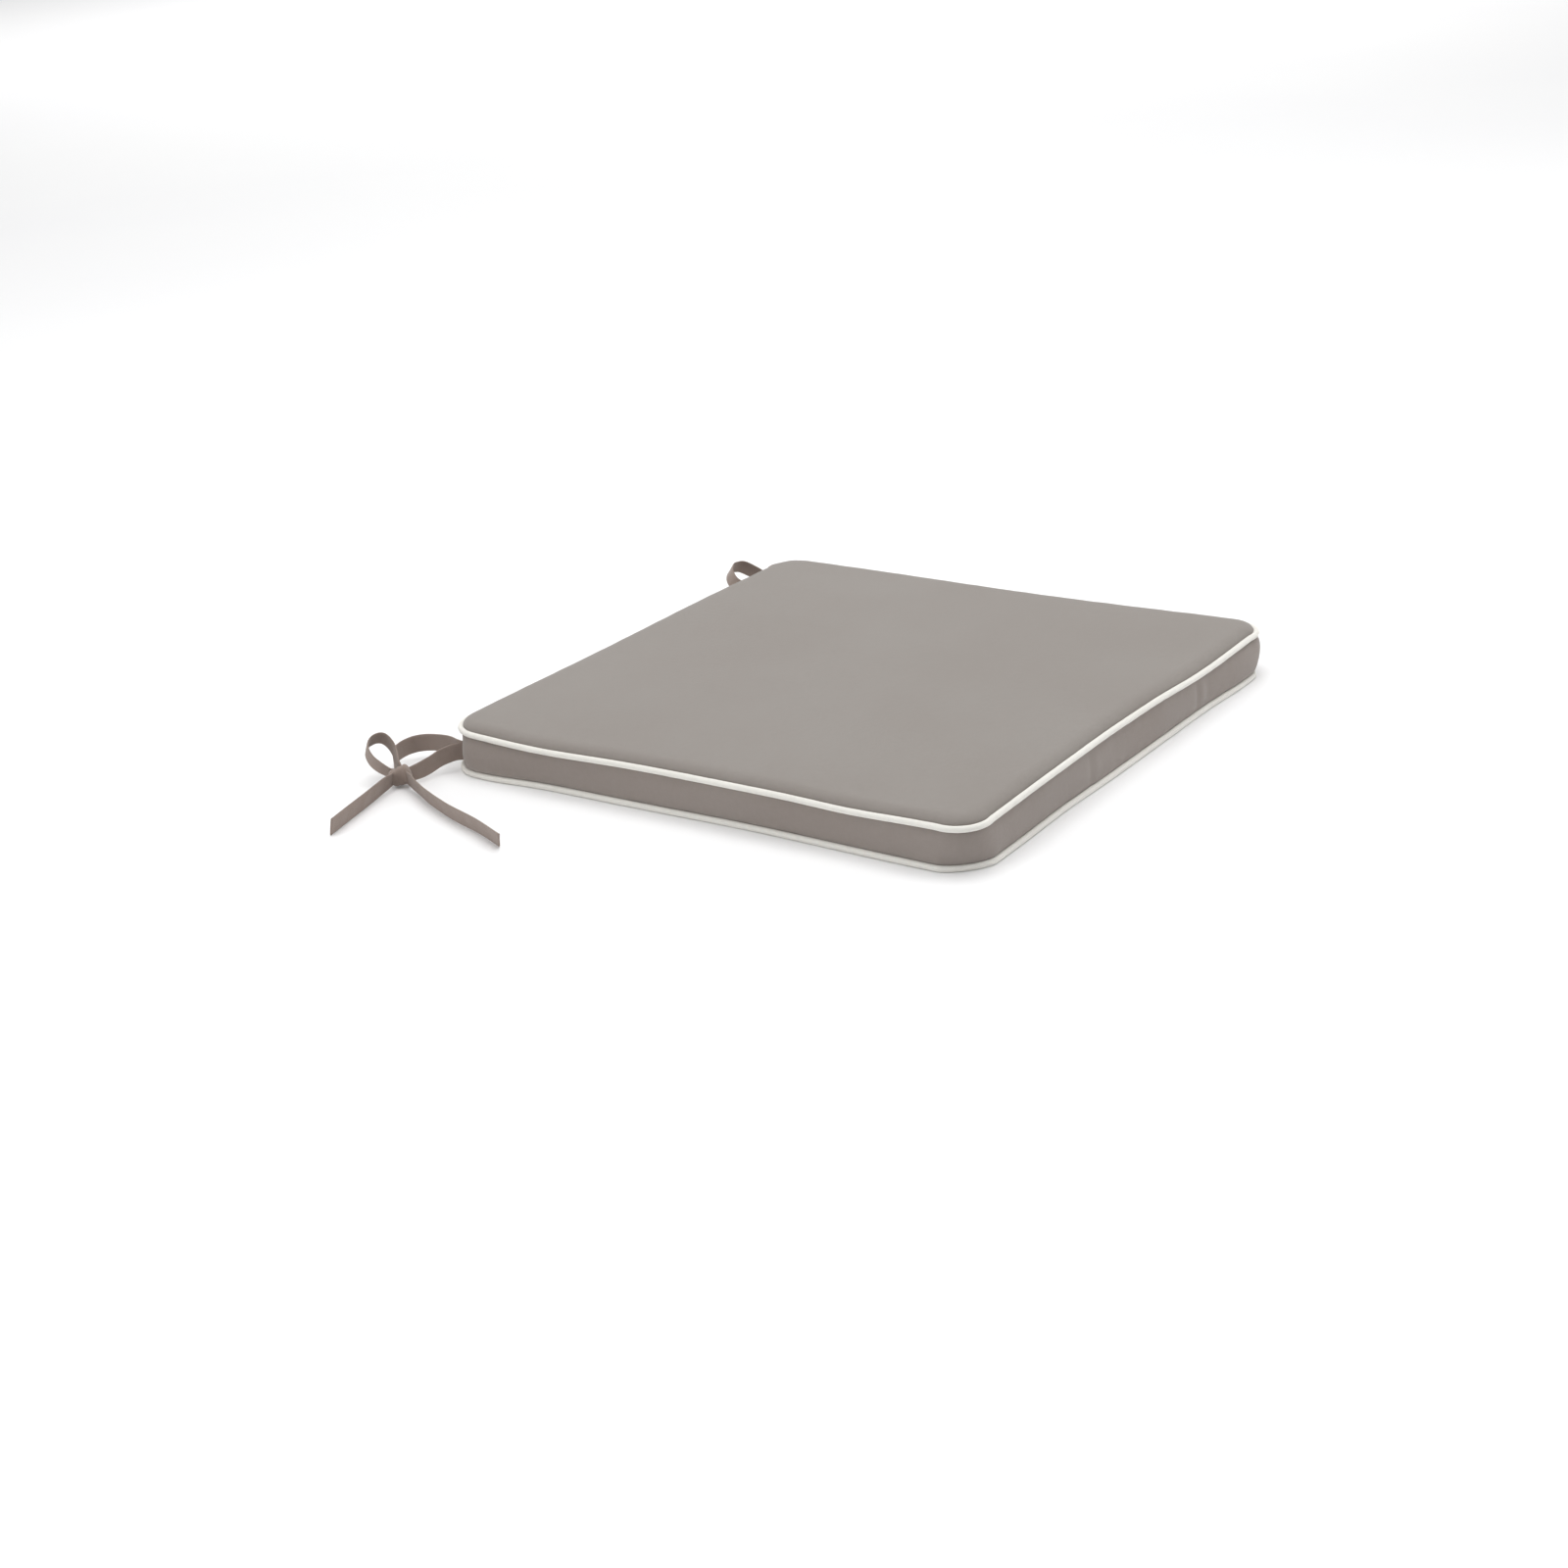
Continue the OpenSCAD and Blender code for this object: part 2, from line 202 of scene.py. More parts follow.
# ---- Outline of the pad -------------------------------------------------------------------

# The outline starts at the rear-left vertical seam and runs anticlockwise: left, front, right,
# rear. Its stops are the ends of the straights and of the corner arcs.
CORE_X = HALF_W - CORNER_R
CORE_Y = HALF_D - CORNER_R
QUARTER = math.pi / 2 * CORNER_R
HALF_TURN = QUARTER / 2
STRETCHES = [HALF_TURN, 2 * CORE_Y, QUARTER, 2 * CORE_X, QUARTER, 2 * CORE_Y, HALF_TURN]
REAR_STRETCHES = [HALF_TURN, 2 * CORE_X, HALF_TURN]
STOPS = np.concatenate([[0], np.cumsum(STRETCHES + REAR_STRETCHES)])
TURNS = np.radians([135, 180, 180, 270, 270, 360, 360, 405, 450, 450, 495])
ARC_X = CORE_X * np.array([-1, -1, -1, -1, 1, 1, 1, 1, 1, -1, -1])
ARC_Y = CORE_Y * np.array([1, 1, -1, -1, -1, -1, 1, 1, 1, 1, 1])
LOOP = STOPS[-1]
BAND_END = STOPS[7]


def on_outline(s):
    """Points of the seam outline at distances s, and the outward direction at each."""
    turn = np.interp(s, STOPS, TURNS)
    out = np.stack([np.cos(turn), np.sin(turn)], -1)
    middle = np.stack([np.interp(s, STOPS, ARC_X), np.interp(s, STOPS, ARC_Y)], -1)
    return middle + CORNER_R * out, out


def wrap_round(s, profile):
    """Carries a profile of (outward, height) points round the outline: profile by station."""
    base, out = on_outline(s)
    points = np.zeros((len(profile), len(s), 3))
    for row, (away, z) in enumerate(profile):
        points[row, :, :2] = base + out * np.reshape(away, (-1, 1))
        points[row, :, 2] = z
    return points


# How the sewn seams drift from straight: (place along the side, half width, inwards, upwards)
DRIFT = {
    ("left", "top"): [(132, 60, -2.0, -1.7), (-125, 38, 0, -1.4), (-172, 24, -1.0, 0.4)],
    ("left", "bottom"): [(178, 34, -4.5, 0), (-45, 80, 2.6, 0)],
    ("front", "top"): [(-28, 85, 2.2, 1.5), (-130, 50, 0, 1.0), (45, 32, 0, 0.7), (115, 48, 0, -1.1)],
    ("front", "bottom"): [(-92, 45, 1.5, 0), (170, 38, -2.6, 0)],
    ("right", "top"): [(-20, 110, 1.6, -0.8), (-185, 50, 1.2, 1.2)],
    ("right", "bottom"): [(20, 90, 1.8, 0)],
    ("rear", "top"): [(-60, 70, 0, -0.5), (90, 60, 0, 0.5)],
    ("rear", "bottom"): [(40, 90, 0.3, 0)],
}
SIDES = {
    "left": (0, -HALF_W, 1),
    "right": (0, HALF_W, -1),
    "front": (1, -HALF_D, 1),
    "rear": (1, HALF_D, -1),
}
DRIFT_REACH = 55.0
# Each front corner is rounder at the bottom seam than at the top one
TOP_ROUNDING = -6.0
BOTTOM_ROUNDING = 9.0


def settle(points):
    """Moves points as the seams pull the whole pad a little out of its straight-sided shape."""
    moved = np.array(points, float)
    x, y, z = moved[..., 0].copy(), moved[..., 1].copy(), moved[..., 2]
    high = smooth_step((z - SEAM_LOW) / (SEAM_HIGH - SEAM_LOW))
    for (side, level), bumps in DRIFT.items():
        axis, edge, inwards = SIDES[side]
        along = y if axis == 0 else x
        inset = (x - edge if axis == 0 else y - edge) * inwards
        near = bump(inset, 0, DRIFT_REACH) * (high if level == "top" else 1 - high)
        for middle, half_width, pull, lift in bumps:
            weight = near * bump(along, middle, half_width)
            moved[..., axis] += inwards * pull * weight
            moved[..., 2] += lift * weight
    for side in (-1, 1):
        dx = np.maximum((x * side - CORE_X), 0)
        dy = np.maximum((-y - CORE_Y), 0)
        away = np.hypot(dx, dy)
        share = (dx + dy) / np.maximum(away, 1e-6) - 1
        rounding = TOP_ROUNDING * high + BOTTOM_ROUNDING * (1 - high)
        push = -rounding * share * np.minimum(away / CORNER_R, 1) ** 2
        moved[..., 0] += side * push * dx / np.maximum(away, 1e-6)
        moved[..., 1] -= push * dy / np.maximum(away, 1e-6)
    return moved


# ---- Panels: a grid whose outer rows follow the outline and its round corners ---------------


def panel_grid(reach, cell=7.0):
    """x and y of a grid over the pad. reach is each corner row's distance from its arc's centre."""
    rows = len(reach) - 1

    def line(core):
        n = 2 * round(core / cell)
        inner = np.linspace(-core, core, n + 1)
        place = np.concatenate([np.full(rows, -core), inner, np.full(rows, core)])
        step = np.concatenate([np.arange(-rows, 0), np.zeros(n + 1, int), np.arange(1, rows + 1)])
        return place, step

    (px, ix), (py, iy) = line(CORE_X), line(CORE_Y)
    i, j = np.meshgrid(ix, iy, indexing="ij")
    a, b = abs(i), abs(j)
    row = np.maximum(a, b)
    share = np.minimum(a, b) / np.maximum(row, 1)
    turn = np.where(b <= a, share * math.pi / 4, math.pi / 2 - share * math.pi / 4)
    turn = np.where(row == 0, 0, turn)
    radius = np.asarray(reach, float)[row]
    x = px[:, None] + np.sign(i) * radius * np.cos(turn) * (a > 0)
    y = py[None, :] + np.sign(j) * radius * np.sin(turn) * (b > 0)
    return x, y, row


def panel_piece(name, insets, heights, doming=None, flip=False):
    """A panel whose corner rows lie at the given insets and heights, from the middle outwards."""
    reach = np.concatenate([[0], CORNER_R - np.asarray(insets, float)])
    flat = np.concatenate([[0], running_length(np.stack([insets, heights], 1)) + reach[1]])
    x, y, row = panel_grid(reach)
    u, v, _ = panel_grid(flat)
    z = np.concatenate([[heights[0]], heights])[row]
    if doming is not None:
        z = z + doming(x, y)
    points = np.stack([x, y, z], -1)
    faces, _ = grid_faces(*points.shape[:2])
    if flip:
        faces = faces[:, ::-1]
    uv = np.stack([u, v], -1).reshape(-1, 2)[faces]
    piece = make_piece(name, points.reshape(-1, 3), faces.tolist(), uv.reshape(-1, 2))
    return piece, row.ravel()


SHOULDER_W = 9.5
SHOULDER_H = 5.3
EDGE_INSET = 1.35
EDGE_Z = SEAM_HIGH + 1.15


def shoulder_rows():
    """Insets and heights of the top panel's outer rows, from its flat part to its turned-in edge."""
    bend = np.radians([90, 74, 59, 45, 31, 17, 0])
    insets = EDGE_INSET + SHOULDER_W * (1 - np.cos(bend))
    heights = EDGE_Z + SHOULDER_H * np.sin(bend)
    flat_insets = [20.5, 15.0]
    level = EDGE_Z + SHOULDER_H
    turned = [(EDGE_INSET + 1.3, EDGE_Z - 0.5), (7.0, EDGE_Z - 0.4), (ALLOWANCE, EDGE_Z - 0.4)]
    insets = np.concatenate([flat_insets, insets, [t[0] for t in turned]])
    heights = np.concatenate([[level, level], heights, [t[1] for t in turned]])
    return insets, heights, len(turned)


def inset_of(x, y):
    """How far inside the outline a point is."""
    dx = np.maximum(abs(x) - CORE_X, 0)
    dy = np.maximum(abs(y) - CORE_Y, 0)
    flat = np.minimum(HALF_W - abs(x), HALF_D - abs(y))
    return np.where((dx > 0) & (dy > 0), CORNER_R - np.hypot(dx, dy), flat)


CROWN = TOP - EDGE_Z - SHOULDER_H


def crown(x, y):
    """The gentle rise of the top panel towards its middle, with the filling's slight unevenness."""
    u = np.clip((HALF_W - abs(x) - EDGE_INSET) / (HALF_W - EDGE_INSET), 0, 1)
    v = np.clip((HALF_D - abs(y) - EDGE_INSET) / (HALF_D - EDGE_INSET), 0, 1)
    rise = (1 - (1 - u) ** 2.6) * (1 - (1 - v) ** 2.6)
    uneven = 0.3 * pinch(x + 0.3 * y, (210.0, 0.5), (127.0, 2.0)) * pinch(y, (180.0, 1.0), (99.0, 0.2))
    return (CROWN + uneven) * rise


def pinch(along, *waves):
    """Small uneven gathers along a seam, between -1 and 1."""
    total = sum(np.sin(TAU * along / length + shift) for length, shift in waves)
    return total / len(waves)


# ---- Shader helpers -----------------------------------------------------------------------


def new_group(name, inputs, outputs):
    """An empty shader node group. Inputs and outputs are (name, kind, default)."""
    group = bpy.data.node_groups.new(name, "ShaderNodeTree")
    for side, sockets in (("INPUT", inputs), ("OUTPUT", outputs)):
        for label, kind, default in sockets:
            socket = group.interface.new_socket(name=label, in_out=side, socket_type="NodeSocket" + kind)
            if default is not None:
                socket.default_value = default
    return group, group.nodes.new("NodeGroupInput"), group.nodes.new("NodeGroupOutput")


class Net:
    """Short ways to add and join nodes in one node tree."""

    def __init__(self, tree):
        self.tree = tree

    def put(self, socket, value):
        if isinstance(value, bpy.types.NodeSocket):
            self.tree.links.new(value, socket)
        else:
            socket.default_value = value

    def node(self, kind, inputs=None, **settings):
        node = self.tree.nodes.new("ShaderNode" + kind)
        for key, value in settings.items():
            setattr(node, key, value)
        for key, value in (inputs or {}).items():
            self.put(node.inputs[key], value)
        return node

    def math(self, operation, *values):
        node = self.node("Math", operation=operation)
        for socket, value in zip(node.inputs, values):
            self.put(socket, value)
        return node.outputs[0]

    def blend(self, share, first, second, mode="MIX"):
        node = self.node("Mix", data_type="RGBA", blend_type=mode)
        self.put(node.inputs["Factor"], share)
        self.put(node.inputs["A"], first)
        self.put(node.inputs["B"], second)
        return node.outputs["Result"]

    def remap(self, value, low, high, to_low=0.0, to_high=1.0):
        names = {"Value": value, "From Min": low, "From Max": high, "To Min": to_low, "To Max": to_high}
        return self.node("MapRange", names).outputs["Result"]

    def noise(self, vector, scale, detail=3.0, roughness=0.5):
        names = {"Vector": vector, "Scale": scale, "Detail": detail, "Roughness": roughness}
        return self.node("TexNoise", names).outputs["Fac"]


def weave_group():
    """Plain weave: thread height, which set of threads lies on top, and each thread's own tone."""
    group, given, made = new_group(
        "plain weave",
        [("Vector", "Vector", None), ("Warp pitch", "Float", 0.0005), ("Weft pitch", "Float", 0.0005)],
        [("Height", "Float", None), ("Warp on top", "Float", None), ("Thread tone", "Float", None)],
    )
    net = Net(group)
    place = net.node("SeparateXYZ", {"Vector": given.outputs["Vector"]})
    cells, crests, waves = [], [], []
    for axis, pitch in (("X", "Warp pitch"), ("Y", "Weft pitch")):
        scaled = net.math("DIVIDE", place.outputs[axis], given.outputs[pitch])
        cell = net.math("FLOOR", scaled)
        within = net.math("SUBTRACT", net.math("SUBTRACT", scaled, cell), 0.5)
        cells.append(cell)
        crests.append(net.math("COSINE", net.math("MULTIPLY", within, math.pi)))
    odd = net.math("FLOORED_MODULO", net.math("ADD", *cells), 2.0)
    sign = net.math("MULTIPLY_ADD", odd, -2.0, 1.0)
    for crest, swing in ((crests[1], 0.5), (crests[0], -0.5)):
        rise = net.math("MULTIPLY", net.math("MULTIPLY", sign, crest), swing)
        waves.append(net.math("ADD", rise, 0.5))
    warp = net.math("MULTIPLY", crests[0], waves[0])
    weft = net.math("MULTIPLY", crests[1], waves[1])
    net.put(made.inputs["Height"], net.math("MAXIMUM", warp, weft))
    on_top = net.math("GREATER_THAN", warp, weft)
    net.put(made.inputs["Warp on top"], on_top)
    tones = []
    for cell, along in ((cells[0], "Y"), (cells[1], "X")):
        spot = net.node("CombineXYZ", {"X": net.math("MULTIPLY", cell, 7.31)})
        net.put(spot.inputs["Y"], net.math("MULTIPLY", place.outputs[along], 60.0))
        tones.append(net.noise(spot.outputs[0], 1.0, 2.0))
    pick = net.node("Mix", {0: on_top, 2: tones[1], 3: tones[0]}, data_type="FLOAT")
    net.put(made.inputs["Thread tone"], pick.outputs[0])
    return group


def variation_group():
    """Broad, soft unevenness of a dyed cloth, and finer flecks in it."""
    group, given, made = new_group(
        "dye variation",
        [("Vector", "Vector", None), ("Broad scale", "Float", 9.0), ("Fine scale", "Float", 260.0)],
        [("Broad", "Float", None), ("Fine", "Float", None)],
    )
    net = Net(group)
    net.put(made.inputs["Broad"], net.noise(given.outputs["Vector"], given.outputs["Broad scale"], 3.0))
    net.put(made.inputs["Fine"], net.noise(given.outputs["Vector"], given.outputs["Fine scale"], 4.0, 0.6))
    return group


def new_material(name, **settings):
    """A material with a Principled shader and its constant settings, and the net to build in."""
    material = bpy.data.materials.new(name)
    material.use_nodes = True
    shader = material.node_tree.nodes["Principled BSDF"]
    for key, value in settings.items():
        shader.inputs[key].default_value = value
    return material, Net(material.node_tree), shader


def use_group(net, group, inputs):
    node = net.node("Group", node_tree=group)
    for key, value in inputs.items():
        net.put(node.inputs[key], value)
    return node.outputs


def add_bump(net, shader, height, strength, distance, under=None):
    node = net.node("Bump", {"Strength": strength, "Distance": distance, "Height": height})
    if under is not None:
        net.put(node.inputs["Normal"], under)
    net.put(shader.inputs["Normal"], node.outputs["Normal"])
    return node.outputs["Normal"]


# ---- Materials ----------------------------------------------------------------------------


def cloth_material(name, main, shade, warp=0.00055, weft=0.0006, turn=0.0, depth=0.00012, sheen=0.25):
    """Woven cloth: two tones of thread, soft uneven dye, painted shade in the gaps between threads, and the
    weave's own relief.
    """
    material, net, shader = new_material(
        name, **{"Sheen Weight": sheen, "Sheen Roughness": 0.45, "Specular IOR Level": 0.25}
    )
    thread = net.node("UVMap", uv_map="thread").outputs["UV"]
    turned = net.node("VectorRotate", {"Vector": thread, "Angle": turn}, rotation_type="Z_AXIS")
    weave = use_group(
        net, WEAVE, {"Vector": turned.outputs[0], "Warp pitch": warp, "Weft pitch": weft}
    )
    solid = net.node("TexCoord").outputs["Object"]
    dye = use_group(net, DYE, {"Vector": solid})
    broad = net.remap(dye["Broad"], 0.35, 0.65)
    tone = net.blend(net.math("MULTIPLY", broad, 0.35), (*main, 1), (*shade, 1))
    thread_share = net.remap(weave["Thread tone"], 0.3, 0.7, 0.0, 0.22)
    tone = net.blend(thread_share, tone, (*shade, 1))
    # Painted shade: the colour darkens in the low gaps between threads.
    gap_shade = net.remap(weave["Height"], 0.1, 0.75, 0.16, 0.0)
    tone = net.blend(gap_shade, tone, tuple(0.35 * c for c in shade) + (1,))
    fleck = net.remap(dye["Fine"], 0.35, 0.7, 0.0, 0.10)
    tone = net.blend(fleck, tone, tuple(min(1, 1.25 * c) for c in main) + (1,))
    net.put(shader.inputs["Base Color"], tone)
    rough = net.remap(weave["Height"], 0.2, 1.0, 0.95, 0.78)
    net.put(shader.inputs["Roughness"], rough)
    soft = net.node("Bump", {"Strength": 0.25, "Distance": 0.0006, "Height": dye["Fine"]})
    add_bump(net, shader, weave["Height"], 0.7, depth, soft.outputs["Normal"])
    return material


def fibre_material(name, main, shade, scale, depth):
    """Loose fibres or foam: cells of light and shade with a soft surface."""
    material, net, shader = new_material(name, **{"Sheen Weight": 0.2, "Specular IOR Level": 0.2})
    solid = net.node("TexCoord").outputs["Object"]
    dye = use_group(net, DYE, {"Vector": solid, "Fine scale": scale / 2})
    cells = net.node("TexVoronoi", {"Vector": solid, "Scale": scale}, feature="SMOOTH_F1")
    wall = net.remap(cells.outputs["Distance"], 0.1, 0.7)
    tone = net.blend(net.math("MULTIPLY", wall, 0.5), (*main, 1), (*shade, 1))
    tone = net.blend(net.remap(dye["Broad"], 0.4, 0.7, 0.0, 0.3), tone, (*shade, 1))
    net.put(shader.inputs["Base Color"], tone)
    net.put(shader.inputs["Roughness"], net.remap(dye["Fine"], 0.3, 0.7, 0.85, 1.0))
    add_bump(net, shader, cells.outputs["Distance"], 0.6, depth)
    return material


def thread_material(name, main, shade):
    """Sewing thread: a twisted pair with a slight shine."""
    material, net, shader = new_material(name, **{"Sheen Weight": 0.3, "Specular IOR Level": 0.4})
    solid = net.node("TexCoord").outputs["Object"]
    dye = use_group(net, DYE, {"Vector": solid, "Fine scale": 900.0})
    wave = net.node("TexWave", {"Vector": solid, "Scale": 700.0, "Distortion": 0.6})
    net.put(wave.inputs["Detail"], 1.0)
    ply = wave.outputs["Fac"]
    net.put(shader.inputs["Base Color"], net.blend(net.math("MULTIPLY", ply, 0.5), (*main, 1), (*shade, 1)))
    net.put(shader.inputs["Roughness"], net.remap(dye["Fine"], 0.3, 0.7, 0.45, 0.7))
    add_bump(net, shader, ply, 0.5, 0.00005)
    return material


def nylon_material(name, main, shade):
    """Moulded nylon of the zip's coil: smooth, with a faint cloudiness."""
    material, net, shader = new_material(name, **{"Specular IOR Level": 0.5, "Coat Weight": 0.1})
    solid = net.node("TexCoord").outputs["Object"]
    dye = use_group(net, DYE, {"Vector": solid, "Broad scale": 40.0, "Fine scale": 1500.0})
    net.put(shader.inputs["Base Color"], net.blend(dye["Broad"], (*main, 1), (*shade, 1)))
    net.put(shader.inputs["Roughness"], net.remap(dye["Fine"], 0.3, 0.7, 0.28, 0.48))
    add_bump(net, shader, dye["Fine"], 0.15, 0.00003)
    return material


def metal_material(name, main, dull):
    """Plated die-cast metal: rubbed bright on its edges, dull and finely scratched elsewhere."""
    material, net, shader = new_material(name, **{"Metallic": 1.0})
    solid = net.node("TexCoord").outputs["Object"]
    dye = use_group(net, DYE, {"Vector": solid, "Broad scale": 220.0, "Fine scale": 1800.0})
    edge = net.remap(net.node("NewGeometry").outputs["Pointiness"], 0.5, 0.6)
    long = net.node("Mapping", {"Vector": solid, "Scale": (1.0, 6.0, 6.0)})
    scratch = net.noise(long.outputs[0], 900.0, 5.0, 0.7)
    worn = net.math("MAXIMUM", edge, net.remap(scratch, 0.62, 0.7))
    net.put(shader.inputs["Base Color"], net.blend(worn, (*dull, 1), (*main, 1)))
    rough = net.remap(dye["Broad"], 0.3, 0.7, 0.24, 0.42)
    net.put(shader.inputs["Roughness"], net.math("SUBTRACT", rough, net.math("MULTIPLY", worn, 0.08)))
    add_bump(net, shader, scratch, 0.12, 0.00004)
    return material


def floor_material():
    """Plain pale studio paper."""
    material, net, shader = new_material("studio paper", **{"Specular IOR Level": 0.1})
    solid = net.node("TexCoord").outputs["Object"]
    dye = use_group(net, DYE, {"Vector": solid, "Broad scale": 1.2, "Fine scale": 90.0})
    net.put(
        shader.inputs["Base Color"],
        net.blend(net.remap(dye["Broad"], 0.3, 0.7), (0.90, 0.90, 0.90, 1), (0.885, 0.885, 0.89, 1)),
    )
    net.put(shader.inputs["Roughness"], net.remap(dye["Fine"], 0.3, 0.7, 0.85, 0.95))
    return material


WEAVE = weave_group()
DYE = variation_group()

TAUPE = (0.258, 0.236, 0.216)
TAUPE_SHADE = (0.226, 0.197, 0.176)
TOP_CLOTH = cloth_material("taupe cover cloth", TAUPE, TAUPE_SHADE)
BASE_CLOTH = cloth_material("taupe base cloth", TAUPE, TAUPE_SHADE)
# The band is the same taupe cloth as the panels. Its own lighter, warmer colour is painted light and shade
# for its upright sides, which the lamps light less than the top.
BAND_CLOTH = cloth_material("taupe band cloth", (0.288, 0.254, 0.233), (0.246, 0.203, 0.178))
PIPING_CLOTH = cloth_material(
    "cream bias binding", (0.80, 0.785, 0.74), (0.74, 0.715, 0.665), 0.0007, 0.0007, math.pi / 4, 0.00010, 0.1
)
# The tie tape's own taupe, partly painted light: set a little lighter to make up for the shade its front
# strand lies in.
TIE_CLOTH = cloth_material("taupe tie tape", (0.305, 0.246, 0.216), (0.240, 0.180, 0.148), 0.0005, 0.0006)
ZIP_TAPE = cloth_material(
    "grey zip tape", (0.27, 0.24, 0.225), (0.2, 0.175, 0.16), 0.0004, 0.0005, math.pi / 4
)
CORD = cloth_material(
    "cotton piping cord", (0.84, 0.83, 0.78), (0.6, 0.58, 0.53), 0.0011, 0.0011, 0.6, 0.0003
)
FOAM = fibre_material("cream foam", (0.86, 0.78, 0.50), (0.62, 0.52, 0.28), 900.0, 0.0004)
WADDING = fibre_material("white wadding", (0.86, 0.86, 0.87), (0.68, 0.69, 0.72), 420.0, 0.0009)
STITCH = thread_material("taupe sewing thread", (0.40, 0.36, 0.33), (0.24, 0.2, 0.18))
NYLON = nylon_material("grey nylon coil", (0.23, 0.205, 0.19), (0.28, 0.25, 0.235))
NICKEL = metal_material("dull nickel", (0.78, 0.77, 0.75), (0.52, 0.51, 0.50))


# ---- Tie tapes ----------------------------------------------------------------------------

# Each entry is a point on the tape's centre line and the direction of its width. Points are
# measured from the pad's rear corner on that side.
UP = (0, 0, 1)
LEFT_EAR = (-0.25, -0.53, 0.81)
RIGHT_EAR = (0, -0.58, 0.81)
LEFT_FRONT_ROUTE = [
    ((7, -9, 13), UP), ((2, -3, 13), UP), ((-7, 2, 11.3), UP), ((-17, 4, 9), UP),
    ((-27, 6, 7.8), UP), ((-35, 9, 8), UP), ((-36, 15, 11), LEFT_EAR), ((-32, 21, 15), LEFT_EAR),
    ((-27, 28, 21), LEFT_EAR), ((-26, 35, 26), LEFT_EAR), ((-29, 39, 28), LEFT_EAR),
    ((-36, 41, 27), LEFT_EAR), ((-42, 39, 23), LEFT_EAR), ((-45, 33, 18), LEFT_EAR),
    ((-45, 26, 14), LEFT_EAR), ((-43, 19, 10), LEFT_EAR), ((-42, 14, 8), (0, -0.2, 1)),
    ((-48, 13, 7.2), (0, -0.2, 1)), ((-59, 11, 6.9), (0, -0.2, 1)), ((-82, 5, 6.7), (0, -0.2, 1)),
    ((-106, -1, 6.7), (0, -0.2, 1)), ((-129, -7, 6.7), (0, -0.2, 1)),
]
LEFT_BACK_ROUTE = [
    ((9, -7, 13), UP), ((10, 0, 13), UP), ((13, 12, 13), UP), ((12, 28, 12), UP), ((7, 38, 11), UP),
    ((-2, 42, 10), UP), ((-12, 41, 9), UP), ((-20, 36, 8), UP), ((-26, 27, 8), UP),
    ((-32, 18, 8), UP), ((-38, 10, 8), UP), ((-43, -1, 7.4), (-0.1, 0, 1)),
    ((-50, -14, 6.9), (-0.2, 0.1, 1)), ((-60, -33, 6.8), (-0.2, 0.1, 1)),
    ((-73, -64, 6.7), (-0.2, 0.1, 1)), ((-84, -98, 6.7), (-0.2, 0.1, 1)),
    ((-96, -127, 6.7), (-0.2, 0.1, 1)),
]
RIGHT_INNER_ROUTE = [
    ((-9, -7, 13), UP), ((-5, -1, 13), UP), ((4, 16, 11), UP), ((9, 23, 9), RIGHT_EAR),
    ((6, 31, 13), RIGHT_EAR), ((3, 38, 17), RIGHT_EAR), ((-3, 44, 22), RIGHT_EAR),
    ((-9, 47, 23), RIGHT_EAR), ((-15, 47, 23), RIGHT_EAR), ((-22, 43, 20), RIGHT_EAR),
    ((-25, 37, 15), RIGHT_EAR), ((-22, 31, 11), RIGHT_EAR), ((-15, 27, 9), RIGHT_EAR),
    ((-6, 25, 8), RIGHT_EAR), ((1, 23, 8), RIGHT_EAR), ((-1, 20, 7), (0, -0.6, 0.8)),
    ((-9, 19, 5), (0, -0.9, 0.5)), ((-21, 21, 2), (0, -1, 0.1)), ((-40, 23, 1), (0, -1, 0)),
    ((-65, 26, 1), (-0.2, -1, 0)), ((-90, 31, 1), (-0.2, -1, 0)),
]
RIGHT_OUTER_ROUTE = [
    ((-7, -9, 13), UP), ((-1, -7, 13), UP), ((11, -4, 12.5), UP), ((27, 0, 11), UP),
    ((43, 3, 9), UP), ((53, 9, 7.5), (-0.3, -0.1, 0.9)), ((56, 21, 6.5), (-0.4, -0.3, 0.9)),
    ((54, 34, 6.2), (-0.4, -0.3, 0.9)), ((47, 41, 6.2), (-0.4, -0.3, 0.9)),
    ((36, 42, 6.4), (-0.2, -0.2, 0.9)), ((25, 38, 7), UP), ((17, 32, 8), UP),
    ((11, 24, 8), (0.3, 0, 0.9)), ((13, 16, 6), (0.7, 0.1, 0.7)), ((18, 4, 3), (1, 0.3, 0.2)),
    ((24, -10, 1), (1, 0.3, 0)), ((29, -35, 1), (1, 0.2, 0)), ((32, -62, 1), (1, 0, 0)),
    ((33, -90, 1), (1, 0, 0)),
]


def smooth_line(points, spacing):
    """A smooth curve through the points, as points about one spacing apart."""
    p = np.asarray(points, float)
    ends = [2 * p[0] - p[1], *p, 2 * p[-1] - p[-2]]
    steps = max(2, math.ceil(np.linalg.norm(np.diff(p[:, :3], axis=0), axis=1).max() / spacing))
    made = []
    for a, b, c, d in zip(ends, ends[1:], ends[2:], ends[3:]):
        for t in np.arange(steps) / steps:
            bend = (2 * a - 5 * b + 4 * c - d) * t**2 + (3 * b - a - 3 * c + d) * t**3
            made.append(b + ((c - a) * t + bend) / 2)
    made = np.array([*made, p[-1]])
    run = running_length(made[:, :3])
    even = np.linspace(0, run[-1], round(run[-1] / spacing) + 1)
    return np.stack([np.interp(even, run, column) for column in made.T], 1)


def unit(v):
    return v / np.linalg.norm(v, axis=-1, keepdims=True)


TAPE_POINTS = 13


def tape_section():
    """Half the tape's closed outline: places across it, from -1 to 1, and its thickness there."""
    across = np.sin(np.linspace(-math.pi / 2, math.pi / 2, TAPE_POINTS))
    edge = np.sqrt(np.clip(1 - abs(across) ** 14, 0, 1))
    fold = 0.86 + 0.14 * bump(abs(across), 0.86, 0.12)
    return across, edge * fold


